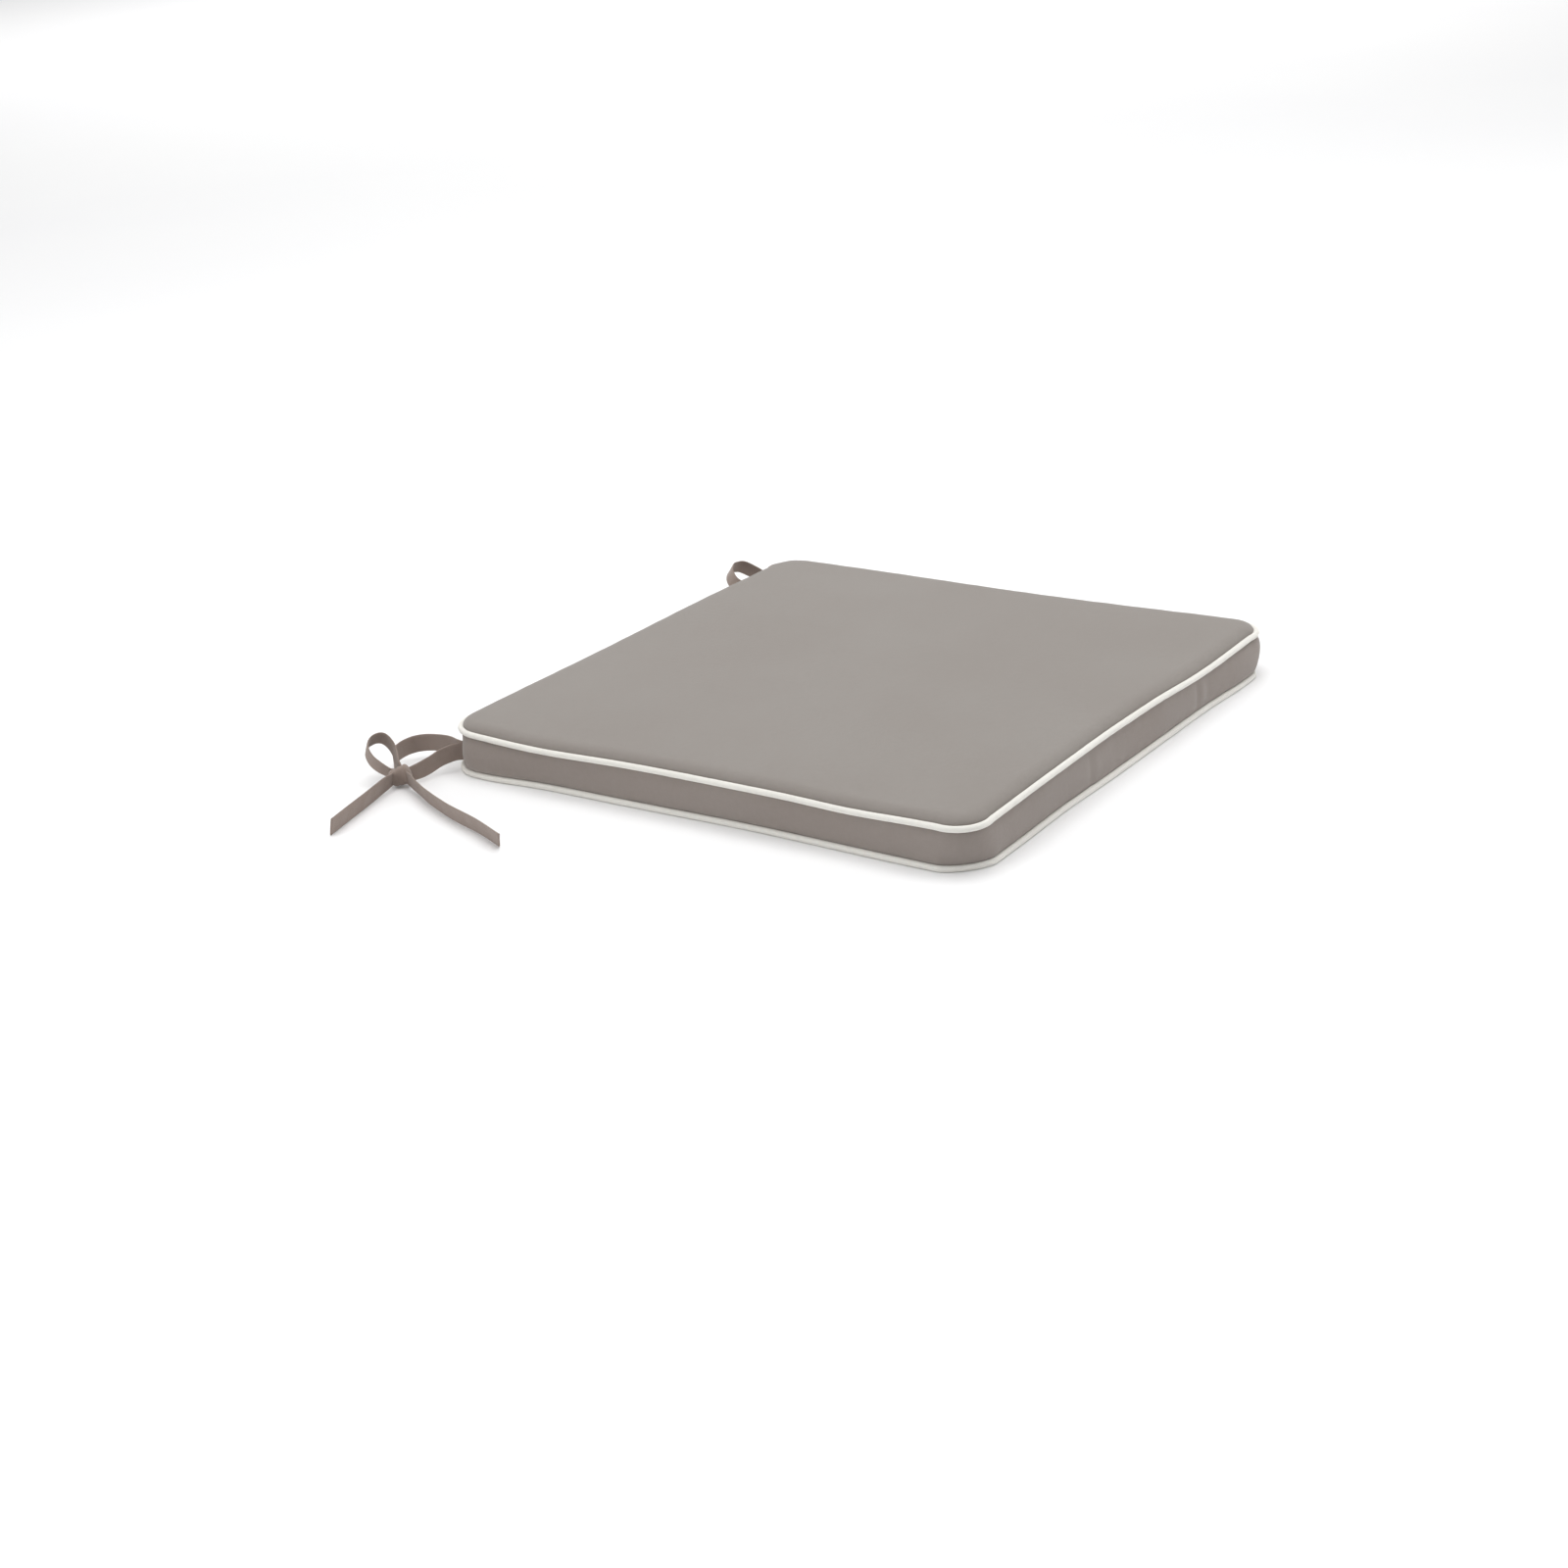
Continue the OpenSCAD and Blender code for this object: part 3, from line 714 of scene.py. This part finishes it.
def tape_piece(name, route, corner, knot_place, slant):
    """A flat tape along a route, thicker at its edges, bunched at the knot and cut off at a slant."""
    line = smooth_line([[*p, *w] for p, w in route], 1.6)
    middle = line[:, :3] + corner
    ahead = unit(np.gradient(middle, axis=0))
    wide = line[:, 3:]
    wide = unit(wide - (wide * ahead).sum(1, keepdims=True) * ahead)
    thin = np.cross(ahead, wide)
    across, thick = tape_section()
    run = running_length(middle)
    ripple = 0.25 * pinch(run, (31.0, 0.4), (17.0, 2.1))[:, None] * (1 - across**2)[None, :]
    bunched = 1 - 0.3 * bump(np.linalg.norm(middle - corner - knot_place, axis=1), 0, 11.0)
    half_wide = TIE_W / 2 * wide * bunched[:, None]
    rows = []
    for side in (1, -1):
        order = slice(None) if side == 1 else slice(-2, 0, -1)
        a, t = across[order], thick[order]
        place = middle[None] + a[:, None, None] * half_wide[None]
        longer = slant / 2 * bump(run, run[-1], 14.0)[:, None] * ahead
        place = place + a[:, None, None] * longer[None]
        lift = side * t[:, None] * TIE_T / 2 + ripple[:, order].T
        rows.append(place + lift[..., None] * thin[None])
    points = np.concatenate(rows)
    points[..., 2] = np.maximum(points[..., 2], 0.15)
    girth = running_length(np.concatenate([points[:, 0], points[:1, 0]]))
    piece = grid_piece(name, points, girth, run, wrap_rows=True)
    return piece, middle


def cap_ends(piece, ring):
    """Closes a tube's two open ends with strips between its opposite sides."""
    work = bmesh.new()
    work.from_mesh(piece.data)
    work.verts.ensure_lookup_table()
    total = len(work.verts)
    columns = total // ring
    for end in (0, columns - 1):
        loop = [work.verts[row * columns + end] for row in range(ring)]
        for k in range(ring // 2):
            quad = [loop[k], loop[k + 1], loop[(ring - k - 1) % ring], loop[(ring - k) % ring]]
            corners_left = list(dict.fromkeys(quad))
            if len(corners_left) > 2:
                work.faces.new(corners_left)
    bmesh.ops.recalc_face_normals(work, faces=work.faces)
    work.to_mesh(piece.data)
    work.free()


def add_tie(name, route, corner, slant, node, knot_place):
    piece, middle = tape_piece(name, route, corner, knot_place, slant)
    cap_ends(piece, 2 * TAPE_POINTS - 2)
    finish_piece(piece, "cover", "tie_tape", TIE_CLOTH, node)


def knot_piece(name, centre, axis, wide_dir, size):
    """The turn of tape drawn tight round the crossing, as a puffed band with folds in it."""
    around = np.linspace(0, TAU, 72, endpoint=False)
    across = np.sin(np.linspace(-math.pi / 2, math.pi / 2, 27))
    axis = unit(np.array(axis, float))
    wide = unit(np.array(wide_dir, float) - np.dot(wide_dir, axis) * axis)
    third = np.cross(axis, wide)
    a, w = np.meshgrid(around, across, indexing="xy")
    puff = np.clip(1 - abs(w) ** 5, 0, 1) ** 0.5
    overlap = 0.12 * smooth_step(0.5 + 5 * (w - 0.3 - 0.3 * np.sin(a + 0.6)))
    pleats = 0.05 * np.sin(9 * w + 1.6 * np.sin(a) + 0.8) + 0.05 * np.sin(3 * a + 2.5 * w)
    radius = puff * (0.88 + overlap + pleats * (1 - w**4)) + 0.02
    flat = np.abs(np.cos(a)) ** 0.8 * np.sign(np.cos(a)), np.abs(np.sin(a)) ** 0.8 * np.sign(np.sin(a))
    half_long, half_wide, half_thick = (s / 2 for s in size)
    points = (
        np.array(centre, float)
        + (half_long * w)[..., None] * axis
        + (half_wide * radius * flat[0])[..., None] * wide
        + (half_thick * radius * flat[1])[..., None] * third
    )
    points[..., 2] = np.maximum(points[..., 2], 0.2)
    piece = grid_piece(
        name, points, (across + 1) * half_long, np.linspace(0, TAU * half_wide, 73), wrap_columns=True
    )
    close_up(piece, 0.0003)
    refine(piece)
    return piece


def add_ties():
    left_place = (-40.5, 11, 8.3)
    right_place = (8, 23, 8.3)
    left_knot = knot_piece("left_knot", LEFT_CORNER + left_place, (0.57, -0.79, 0.25), UP, (16, 14, 11))
    right_knot = knot_piece("right_knot", RIGHT_CORNER + right_place, (0.8, 0.2, 0.1), UP, (16, 14, 11))
    for knot in (left_knot, right_knot):
        finish_piece(knot, "cover", "tie_tape", TIE_CLOTH)
    left, right = (LEFT_CORNER, left_place), (RIGHT_CORNER, right_place)
    for name, route, length, slant, node, (corner, knot_place), knot in (
        ("left_tie_tape_front", LEFT_FRONT_ROUTE, 223, 0, "left_tie_front", left, left_knot),
        ("left_tie_tape_back", LEFT_BACK_ROUTE, 258, 8, "left_tie_back", left, None),
        ("right_tie_tape_inner", RIGHT_INNER_ROUTE, 222, 4, "right_tie_inner", right, right_knot),
        ("right_tie_tape_outer", RIGHT_OUTER_ROUTE, 261, 3, "right_tie_outer", right, None),
    ):
        add_tie(name, route, corner, slant, node, knot_place)


# ---- Cover --------------------------------------------------------------------------------


GATHER_DEPTH = 0.22


def edge_gathers(points, inset):
    """Small gathers where a panel runs into its seam, fading towards the middle of the panel."""
    x, y = points[:, 0], points[:, 1]
    along = np.where(abs(x) / HALF_W > abs(y) / HALF_D, y, x)
    fade = bump(inset, 6.0, 7.0)
    wave = pinch(along, (23.0, 0.3), (14.5, 1.9), (37.0, 4.0))
    points[:, 2] += GATHER_DEPTH * fade * wave
    return points


def add_top_panel():
    insets, heights, turned = shoulder_rows()
    piece, row = panel_piece("cover_top_panel", insets, heights, crown)
    last = len(insets)
    points = read_points(piece)
    inset = inset_of(points[:, 0], points[:, 1])
    free = row < last - turned
    points = np.where(free[:, None], edge_gathers(points.copy(), inset), points)
    write_points(piece, settle(points))
    thicken(piece, CLOTH_T)
    refine(piece)
    finish_piece(piece, "cover", "top_cloth", TOP_CLOTH, "top_panel")


def read_points(piece):
    points = np.zeros(len(piece.data.vertices) * 3)
    piece.data.vertices.foreach_get("co", points)
    return points.reshape(-1, 3) / MM


def write_points(piece, points):
    piece.data.vertices.foreach_set("co", (np.asarray(points) * MM).ravel())
    piece.data.update()


def add_bottom_panel():
    """The underside: flat where it rests, and lifted to the seam at its edge."""
    insets = [20.0, 12.0, 7.0, 4.6, 3.2, 2.5, 3.4, 8.0, ALLOWANCE]
    heights = [0.0, 0.0, 0.02, 0.2, 0.6, 1.1, 1.9, 2.0, 2.0]
    piece, _ = panel_piece("cover_bottom_panel", insets, heights, flip=True)
    points = settle(read_points(piece))
    points[:, 2] = np.maximum(points[:, 2], 0)
    write_points(piece, points)
    thicken(piece, 0.6)
    finish_piece(piece, "cover", "base_cloth", BASE_CLOTH, "bottom_panel")


BAND_TOP = SEAM_HIGH - 1.7
BAND_BOTTOM = SEAM_LOW + 1.7
BAND_RISE = BAND_TOP - BAND_BOTTOM
BAND_BULGE = 1.1


def band_profile(bulge, rows=17):
    """Outward place and height of the band, from its top allowance down to its bottom one."""
    share = np.linspace(0, 1, rows)
    away = -0.8 + (0.8 + bulge) * np.sin(math.pi * share) ** 0.6
    z = BAND_TOP - BAND_RISE * share
    top = [(-ALLOWANCE, SEAM_HIGH - 1.2), (-7.0, SEAM_HIGH - 1.2), (-3.0, SEAM_HIGH - 1.35)]
    bottom = [(n, SEAM_LOW + SEAM_HIGH - h) for n, h in reversed(top)]
    return top + list(zip(away, z)) + bottom


# Upright puckers in the band: (distance from the pad's middle along the front, half width, depth)
FRONT_PUCKERS = [
    (-57.5, 3.2, 0.9), (-50.0, 3.0, -0.5), (98.5, 2.6, 1.1), (105.5, 3.0, -0.7),
    (114.0, 3.2, 0.5),
]


# Where the filling pushes the band out furthest: (stop along the outline, half width, bulge)
FULL_CORNERS = [
    (STOPS[0] + HALF_TURN, 55.0, 2.4), ((STOPS[2] + STOPS[3]) / 2, 40.0, 1.2),
    ((STOPS[4] + STOPS[5]) / 2, 60.0, 3.6), (STOPS[7] - HALF_TURN, 55.0, 2.4),
]


def add_side_band():
    count = round(BAND_END / 3.4) + 1
    s = np.linspace(0, BAND_END, count)
    profile = band_profile(BAND_BULGE)
    points = wrap_round(s, profile)
    _, out = on_outline(s)
    rows = len(profile)
    height = points[:, :, 2]
    share = np.clip((BAND_TOP - height) / BAND_RISE, 0, 1)
    belly = np.sin(math.pi * share)
    near_seam = bump(share, 0, 0.28) + bump(share, 1, 0.28)
    gather = 0.28 * pinch(s, (21.0, 0.7), (13.0, 2.2), (41.0, 5.0))[None] * near_seam
    broad = 0.35 * pinch(s, (170.0, 0.5), (95.0, 1.1))[None] * belly
    front = s - (STOPS[3] + STOPS[4]) / 2
    dents = [(depth, bump(front, place, width)[None]) for place, width, depth in FRONT_PUCKERS]
    folds = sum(-depth * dent * (0.35 + 0.65 * belly) for depth, dent in dents)
    turned = 1.6 * (bump(s, 0, 1.6) + bump(s, BAND_END, 1.6))[None] * (belly > 0)
    visible = np.zeros((rows, 1))
    visible[3:-3] = 1
    full = sum(depth * bump(s, stop, width) for stop, width, depth in FULL_CORNERS)[None] * belly**0.6
    held = 1 - smooth_step(np.minimum(s, BAND_END - s) / 16)[None]
    push = gather + (broad + folds + full) * (1 - held) - BAND_BULGE * held * belly**0.6 - turned
    push = push * visible
    points[:, :, :2] += push[..., None] * out[None]
    across = running_length(np.array(profile))
    piece = grid_piece("cover_side_band", settle(points), across, s)
    thicken(piece, CLOTH_T)
    refine(piece)
    finish_piece(piece, "cover", "band_cloth", BAND_CLOTH, "side_band")


LIP_T = 2.4
LIP_HALF_GAP = 3.9
LIP_FOLD = 6.1
ZIP_END = corners("zip_bottom_stop")[1][0]


def rear_band_piece(name, node, upper):
    """One half of the rear band: sewn under the piping, folded back along the zip."""
    sign = 1 if upper else -1
    s = np.linspace(BAND_END, LOOP, round((LOOP - BAND_END) / 3.0) + 1)
    base, out = on_outline(s)
    opening = smooth_step((ZIP_END + 1.5 - abs(base[:, 0])) / 2.5)
    edge = 0.1 + (LIP_HALF_GAP - 0.1) * opening
    seam = BAND_TOP - ZIP_MID
    fold = np.linspace(0, math.pi, 7)
    lip_r = (CLOTH_T + (LIP_T - CLOTH_T) * opening) / 2
    rows = []
    for away, z in ((-ALLOWANCE, seam + 1.1), (-7.0, seam + 1.1), (-3.0, seam + 0.95)):
        rows.append((np.full(len(s), away), np.full(len(s), z)))
    for share in np.linspace(0, 1, 9)[:-1]:
        away = -0.8 + 0.8 * min(1, share / 0.35) ** 0.6
        rows.append((np.full(len(s), away), seam + (edge + lip_r - seam) * share))
    for turn in fold:
        rows.append((-lip_r + lip_r * np.cos(turn), edge + lip_r - lip_r * np.sin(turn)))
    rows.append((-2 * lip_r, edge + lip_r + (LIP_FOLD - 1.5) * 0.5))
    rows.append((-2 * lip_r, edge + LIP_FOLD))
    points = np.zeros((len(rows), len(s), 3))
    ends = 1.6 * (bump(s, BAND_END, 1.6) + bump(s, LOOP, 1.6))
    for k, (away, v) in enumerate(rows):
        turned = ends if 3 <= k < len(rows) - 2 else 0
        points[k, :, :2] = base + out * np.reshape(away - turned, (-1, 1))
        points[k, :, 2] = ZIP_MID + sign * v
    across = running_length(points[:, len(s) // 2])
    piece = grid_piece(name, settle(points), across, s, flip=not upper)
    thicken(piece, 0.5)
    refine(piece)
    finish_piece(piece, "cover", "band_cloth", BAND_CLOTH, node)


def tube_round(name, radius, z, step, sides, wobble=0.0):
    """A round bar along the whole outline."""
    s = np.linspace(0, LOOP, round(LOOP / step) + 1)[:-1]
    turn = np.linspace(0, TAU, sides, endpoint=False)
    size = radius * (1 + wobble * pinch(s, (33.0, 0.2), (19.0, 1.4), (11.0, 3.0)))
    profile = [(size * math.cos(t), z + size * math.sin(t)) for t in turn]
    points = settle(wrap_round(s, profile))
    around = np.linspace(0, TAU * radius, sides + 1)
    along = np.linspace(0, LOOP, len(s) + 1)
    return grid_piece(name, points, around, along, wrap_rows=True, wrap_columns=True, flip=True)


def add_piping(level, z):
    cover = tube_round(f"{level}_piping_binding", PIPING_R, z, 2.6, 20, 0.02)
    finish_piece(cover, "cover", "piping_cloth", PIPING_CLOTH, f"{level}_piping_cover")
    s = np.linspace(0, LOOP, round(LOOP / 6) + 1)[:-1]
    near = -PIPING_R + 0.3
    strip = [(near, z + 0.45), (-ALLOWANCE, z + 0.45), (-ALLOWANCE, z - 0.45), (near, z - 0.45)]
    flange = grid_piece(
        f"{level}_piping_allowance", settle(wrap_round(s, strip)), [0, 10, 11, 21, 22],
        np.linspace(0, LOOP, len(s) + 1), wrap_rows=True, wrap_columns=True, flip=True,
    )
    finish_piece(flange, "cover", "piping_cloth", PIPING_CLOTH)
    core = tube_round(f"{level}_piping_core", CORD_R, z, 5.0, 10)
    finish_piece(core, "cover", "piping_cord", CORD, f"{level}_piping_cord")


# ---- Filling ------------------------------------------------------------------------------


def closed_slab(name, insets, top_heights, bottom_heights, doming=None):
    """A slab of two panels that meet at their edge."""
    upper, _ = panel_piece(name, insets, top_heights, doming)
    lower, _ = panel_piece(name + "_under", insets, bottom_heights, flip=True)
    work = bmesh.new()
    work.from_mesh(upper.data)
    work.from_mesh(lower.data)
    bmesh.ops.remove_doubles(work, verts=work.verts, dist=0.00005)
    bmesh.ops.recalc_face_normals(work, faces=work.faces)
    work.to_mesh(upper.data)
    work.free()
    bpy.data.objects.remove(lower)
    return upper


WADDING_INSETS = [20, 16, 14, 13, 12.6]


def add_filling():
    """The foam, and the wadding that lies over and under it."""
    foam_insets = [20, 14, 10, 6, 3.6, 2.7, 2.4]
    half = (SEAM_HIGH - 0.9 + SEAM_LOW + 1.9) / 2
    rise = [13.2, 13.1, 12.9, 11.4, 8.5, 4.5, 0]
    foam = closed_slab("foam_slab", foam_insets, [half + r for r in rise], [half - r for r in rise])
    points = read_points(foam)
    points[:, 1] -= 4.5 * smooth_step((points[:, 1] - CORE_Y) / CORNER_R)
    write_points(foam, settle(points))
    refine(foam)
    finish_piece(foam, "cover", "foam", FOAM, "foam_core")
    level = EDGE_Z + SHOULDER_H - 1.6
    top = closed_slab(
        "upper_wadding", WADDING_INSETS, [level, level, level - 0.3, level - 1.2, level - 2.2],
        [31.5, 31.5, 31.5, 31.7, level - 2.2], crown,
    )
    under = closed_slab(
        "lower_wadding", WADDING_INSETS, [3.7, 3.7, 3.6, 3.2, 2.5], [1.0, 1.0, 1.1, 1.6, 2.5]
    )
    for piece, node in ((top, "wadding_top"), (under, "wadding_bottom")):
        write_points(piece, settle(read_points(piece)))
        finish_piece(piece, "cover", "wadding", WADDING, node)


# ---- Zip ----------------------------------------------------------------------------------

COIL_PITCH = 1.3
WIRE_R = 0.27


def coil_piece(name, node, upper):
    """One row of the zip's coil, whose turns lie between those of the other row."""
    sign = 1 if upper else -1
    per_turn = 12
    turns = math.floor((COIL_HIGH[0] - COIL_LOW[0] - COIL_PITCH) / COIL_PITCH)
    turn = np.linspace(0, TAU * turns, turns * per_turn + 1)
    start = COIL_LOW[0] + (COIL_PITCH / 2 if upper else 0) + WIRE_R
    depth = (COIL_HIGH[1] - COIL_LOW[1]) / 2
    middle = np.stack(
        [
            start + COIL_PITCH * turn / TAU,
            COIL_LOW[1] + depth + (depth - WIRE_R) * np.sin(turn),
            ZIP_MID + sign * (1.05 + (1.55 - WIRE_R) * np.cos(turn)),
        ],
        1,
    )
    ahead = unit(np.gradient(middle, axis=0))
    side = unit(np.cross(ahead, [1.0, 0, 0]))
    other = np.cross(ahead, side)
    round_wire = np.linspace(0, TAU, 6, endpoint=False)
    rings = [middle + WIRE_R * (math.cos(t) * side + math.sin(t) * other) for t in round_wire]
    piece = grid_piece(
        name, np.array(rings), np.linspace(0, TAU * WIRE_R, 7), running_length(middle), wrap_rows=True
    )
    finish_piece(piece, "cover", "zip_coil", NYLON, node)


def tape_strip(name, node):
    """A zip tape: a thin woven strip with a thicker edge."""
    low, high = corners(node)
    v = np.linspace(low[2], high[2], 9)
    x = np.linspace(low[0], high[0], 60)
    middle = (low[1] + high[1]) / 2
    half = (high[1] - low[1]) / 2
    swell_edge = 0.55 + 0.45 * (bump(v, low[2] + 0.8, 0.7) + bump(v, high[2] - 0.8, 0.7))
    rows = [(v[k], middle + half * swell_edge[k]) for k in range(9)]
    rows += [(v[k], middle - half * swell_edge[k]) for k in reversed(range(9))]
    points = np.zeros((len(rows), len(x), 3))
    for k, (z, y) in enumerate(rows):
        points[k, :, 0], points[k, :, 1], points[k, :, 2] = x, y, z
    across = running_length(np.array(rows + rows[:1]))
    piece = grid_piece(name, points, across, x, wrap_rows=True)
    cap_ends(piece, 18)
    finish_piece(piece, "cover", "zip_tape", ZIP_TAPE, node)


ACROSS = np.array([1.0, 0, 0])
REARWARD = np.array([0, 1.0, 0])
UPWARD = np.array([0, 0, 1.0])
STITCH_LENGTH = 2.3
STITCH_R = 0.24


def stitch_row(name, centres, along):
    """Stitches on the rear band: short rounded threads along the seam, dipping in at their ends."""
    sides, rings = 6, 7
    points, faces = [], []
    t = np.linspace(-1, 1, rings)
    thick = STITCH_R * np.sqrt(np.clip(1 - abs(t) ** 4, 0.04, 1))
    other = np.cross(along, REARWARD)
    for centre in centres:
        first = len(points)
        for k in range(rings):
            middle = centre + along * t[k] * STITCH_LENGTH / 2 + REARWARD * (0.12 - 0.42 * t[k] ** 2)
            for turn in np.linspace(0, TAU, sides, endpoint=False):
                points.append(middle + thick[k] * (math.cos(turn) * REARWARD + math.sin(turn) * other))
        for k in range(rings - 1):
            for j in range(sides):
                a, b = first + k * sides + j, first + k * sides + (j + 1) % sides
                faces.append([a, b, b + sides, a + sides])
        faces.append([first + j for j in reversed(range(sides))])
        faces.append([first + (rings - 1) * sides + j for j in range(sides)])
    piece = make_piece(name, points, faces)
    close_up(piece, 0.000001)
    finish_piece(piece, "cover", "band_cloth", STITCH)


def add_zip():
    coil_piece("zip_coil_row_upper", "zip_coil_upper", True)
    coil_piece("zip_coil_row_lower", "zip_coil_lower", False)
    tape_strip("zip_woven_tape_upper", "zip_tape_upper")
    tape_strip("zip_woven_tape_lower", "zip_tape_lower")
    rear_band_piece("cover_rear_band_upper", "rear_band_upper", True)
    rear_band_piece("cover_rear_band_lower", "rear_band_lower", False)
    pitch = 3.0
    x = np.arange(-ZIP_END, ZIP_END + 0.1, pitch)
    for word, sign in (("upper", 1), ("lower", -1)):
        height = ZIP_MID + sign * (LIP_HALF_GAP + 4.9)
        centres = np.stack([x, np.full(len(x), HALF_D), np.full(len(x), height)], 1)
        stitch_row(f"zip_stitching_{word}", centres, ACROSS)
    for word, sign in (("left", -1), ("right", 1)):
        v = np.arange(-7.5, 7.6, 2.5)
        centres = np.stack([np.full(len(v), sign * (ZIP_END + 3.4)), np.full(len(v), HALF_D), ZIP_MID + v], 1)
        stitch_row(f"zip_bar_stitching_{word}", centres, UPWARD)
    for node in ("zip_slider", "zip_pull_tab", "zip_top_stops", "zip_bottom_stop"):
        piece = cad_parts[node]
        piece.data.materials.clear()
        piece.data.materials.append(NICKEL)
        bevel(piece, 0.18 if node == "zip_pull_tab" else 0.22)


# ---- Studio -------------------------------------------------------------------------------


def add_area_light(name, place, target, size, strength):
    light = bpy.data.lights.new(name, "AREA")
    light.shape = "DISK"
    light.size = size
    light.energy = strength
    lamp = bpy.data.objects.new(name, light)
    lamp.location = place
    lamp.rotation_euler = (Vector(target) - Vector(place)).to_track_quat("-Z", "Y").to_euler()
    bpy.context.scene.collection.objects.link(lamp)


def add_studio():
    half = 14.0 / MM
    square = [(-half, -half, 0), (half, -half, 0), (half, half, 0), (-half, half, 0)]
    floor = make_piece("floor", square, [[0, 1, 2, 3]])
    floor.data.materials.append(floor_material())
    world = bpy.data.worlds.new("studio")
    world.use_nodes = True
    world.node_tree.nodes["Background"].inputs["Color"].default_value = (1.0, 1.0, 1.0, 1)
    world.node_tree.nodes["Background"].inputs["Strength"].default_value = 0.50
    bpy.context.scene.world = world
    pad = (0, 0, 0)
    add_area_light("overhead softbox", (0.2, 0.0, 3.0), pad, 3.0, 68.0)
    add_area_light("left softbox", (-2.4, 1.5, 1.1), pad, 1.6, 18.0)
    add_area_light("right softbox", (1.9, -2.2, 1.2), pad, 1.6, 18.0)
    add_area_light("background softbox", (5.0, 3.6, 3.5), (5.0, 3.6, 0), 4.0, 150.0)
    bpy.context.scene.view_settings.view_transform = "Standard"


add_camera()
add_ties()
add_top_panel()
add_bottom_panel()
add_side_band()
add_piping("top", SEAM_HIGH)
add_piping("bottom", SEAM_LOW)
add_filling()
add_zip()
add_studio()
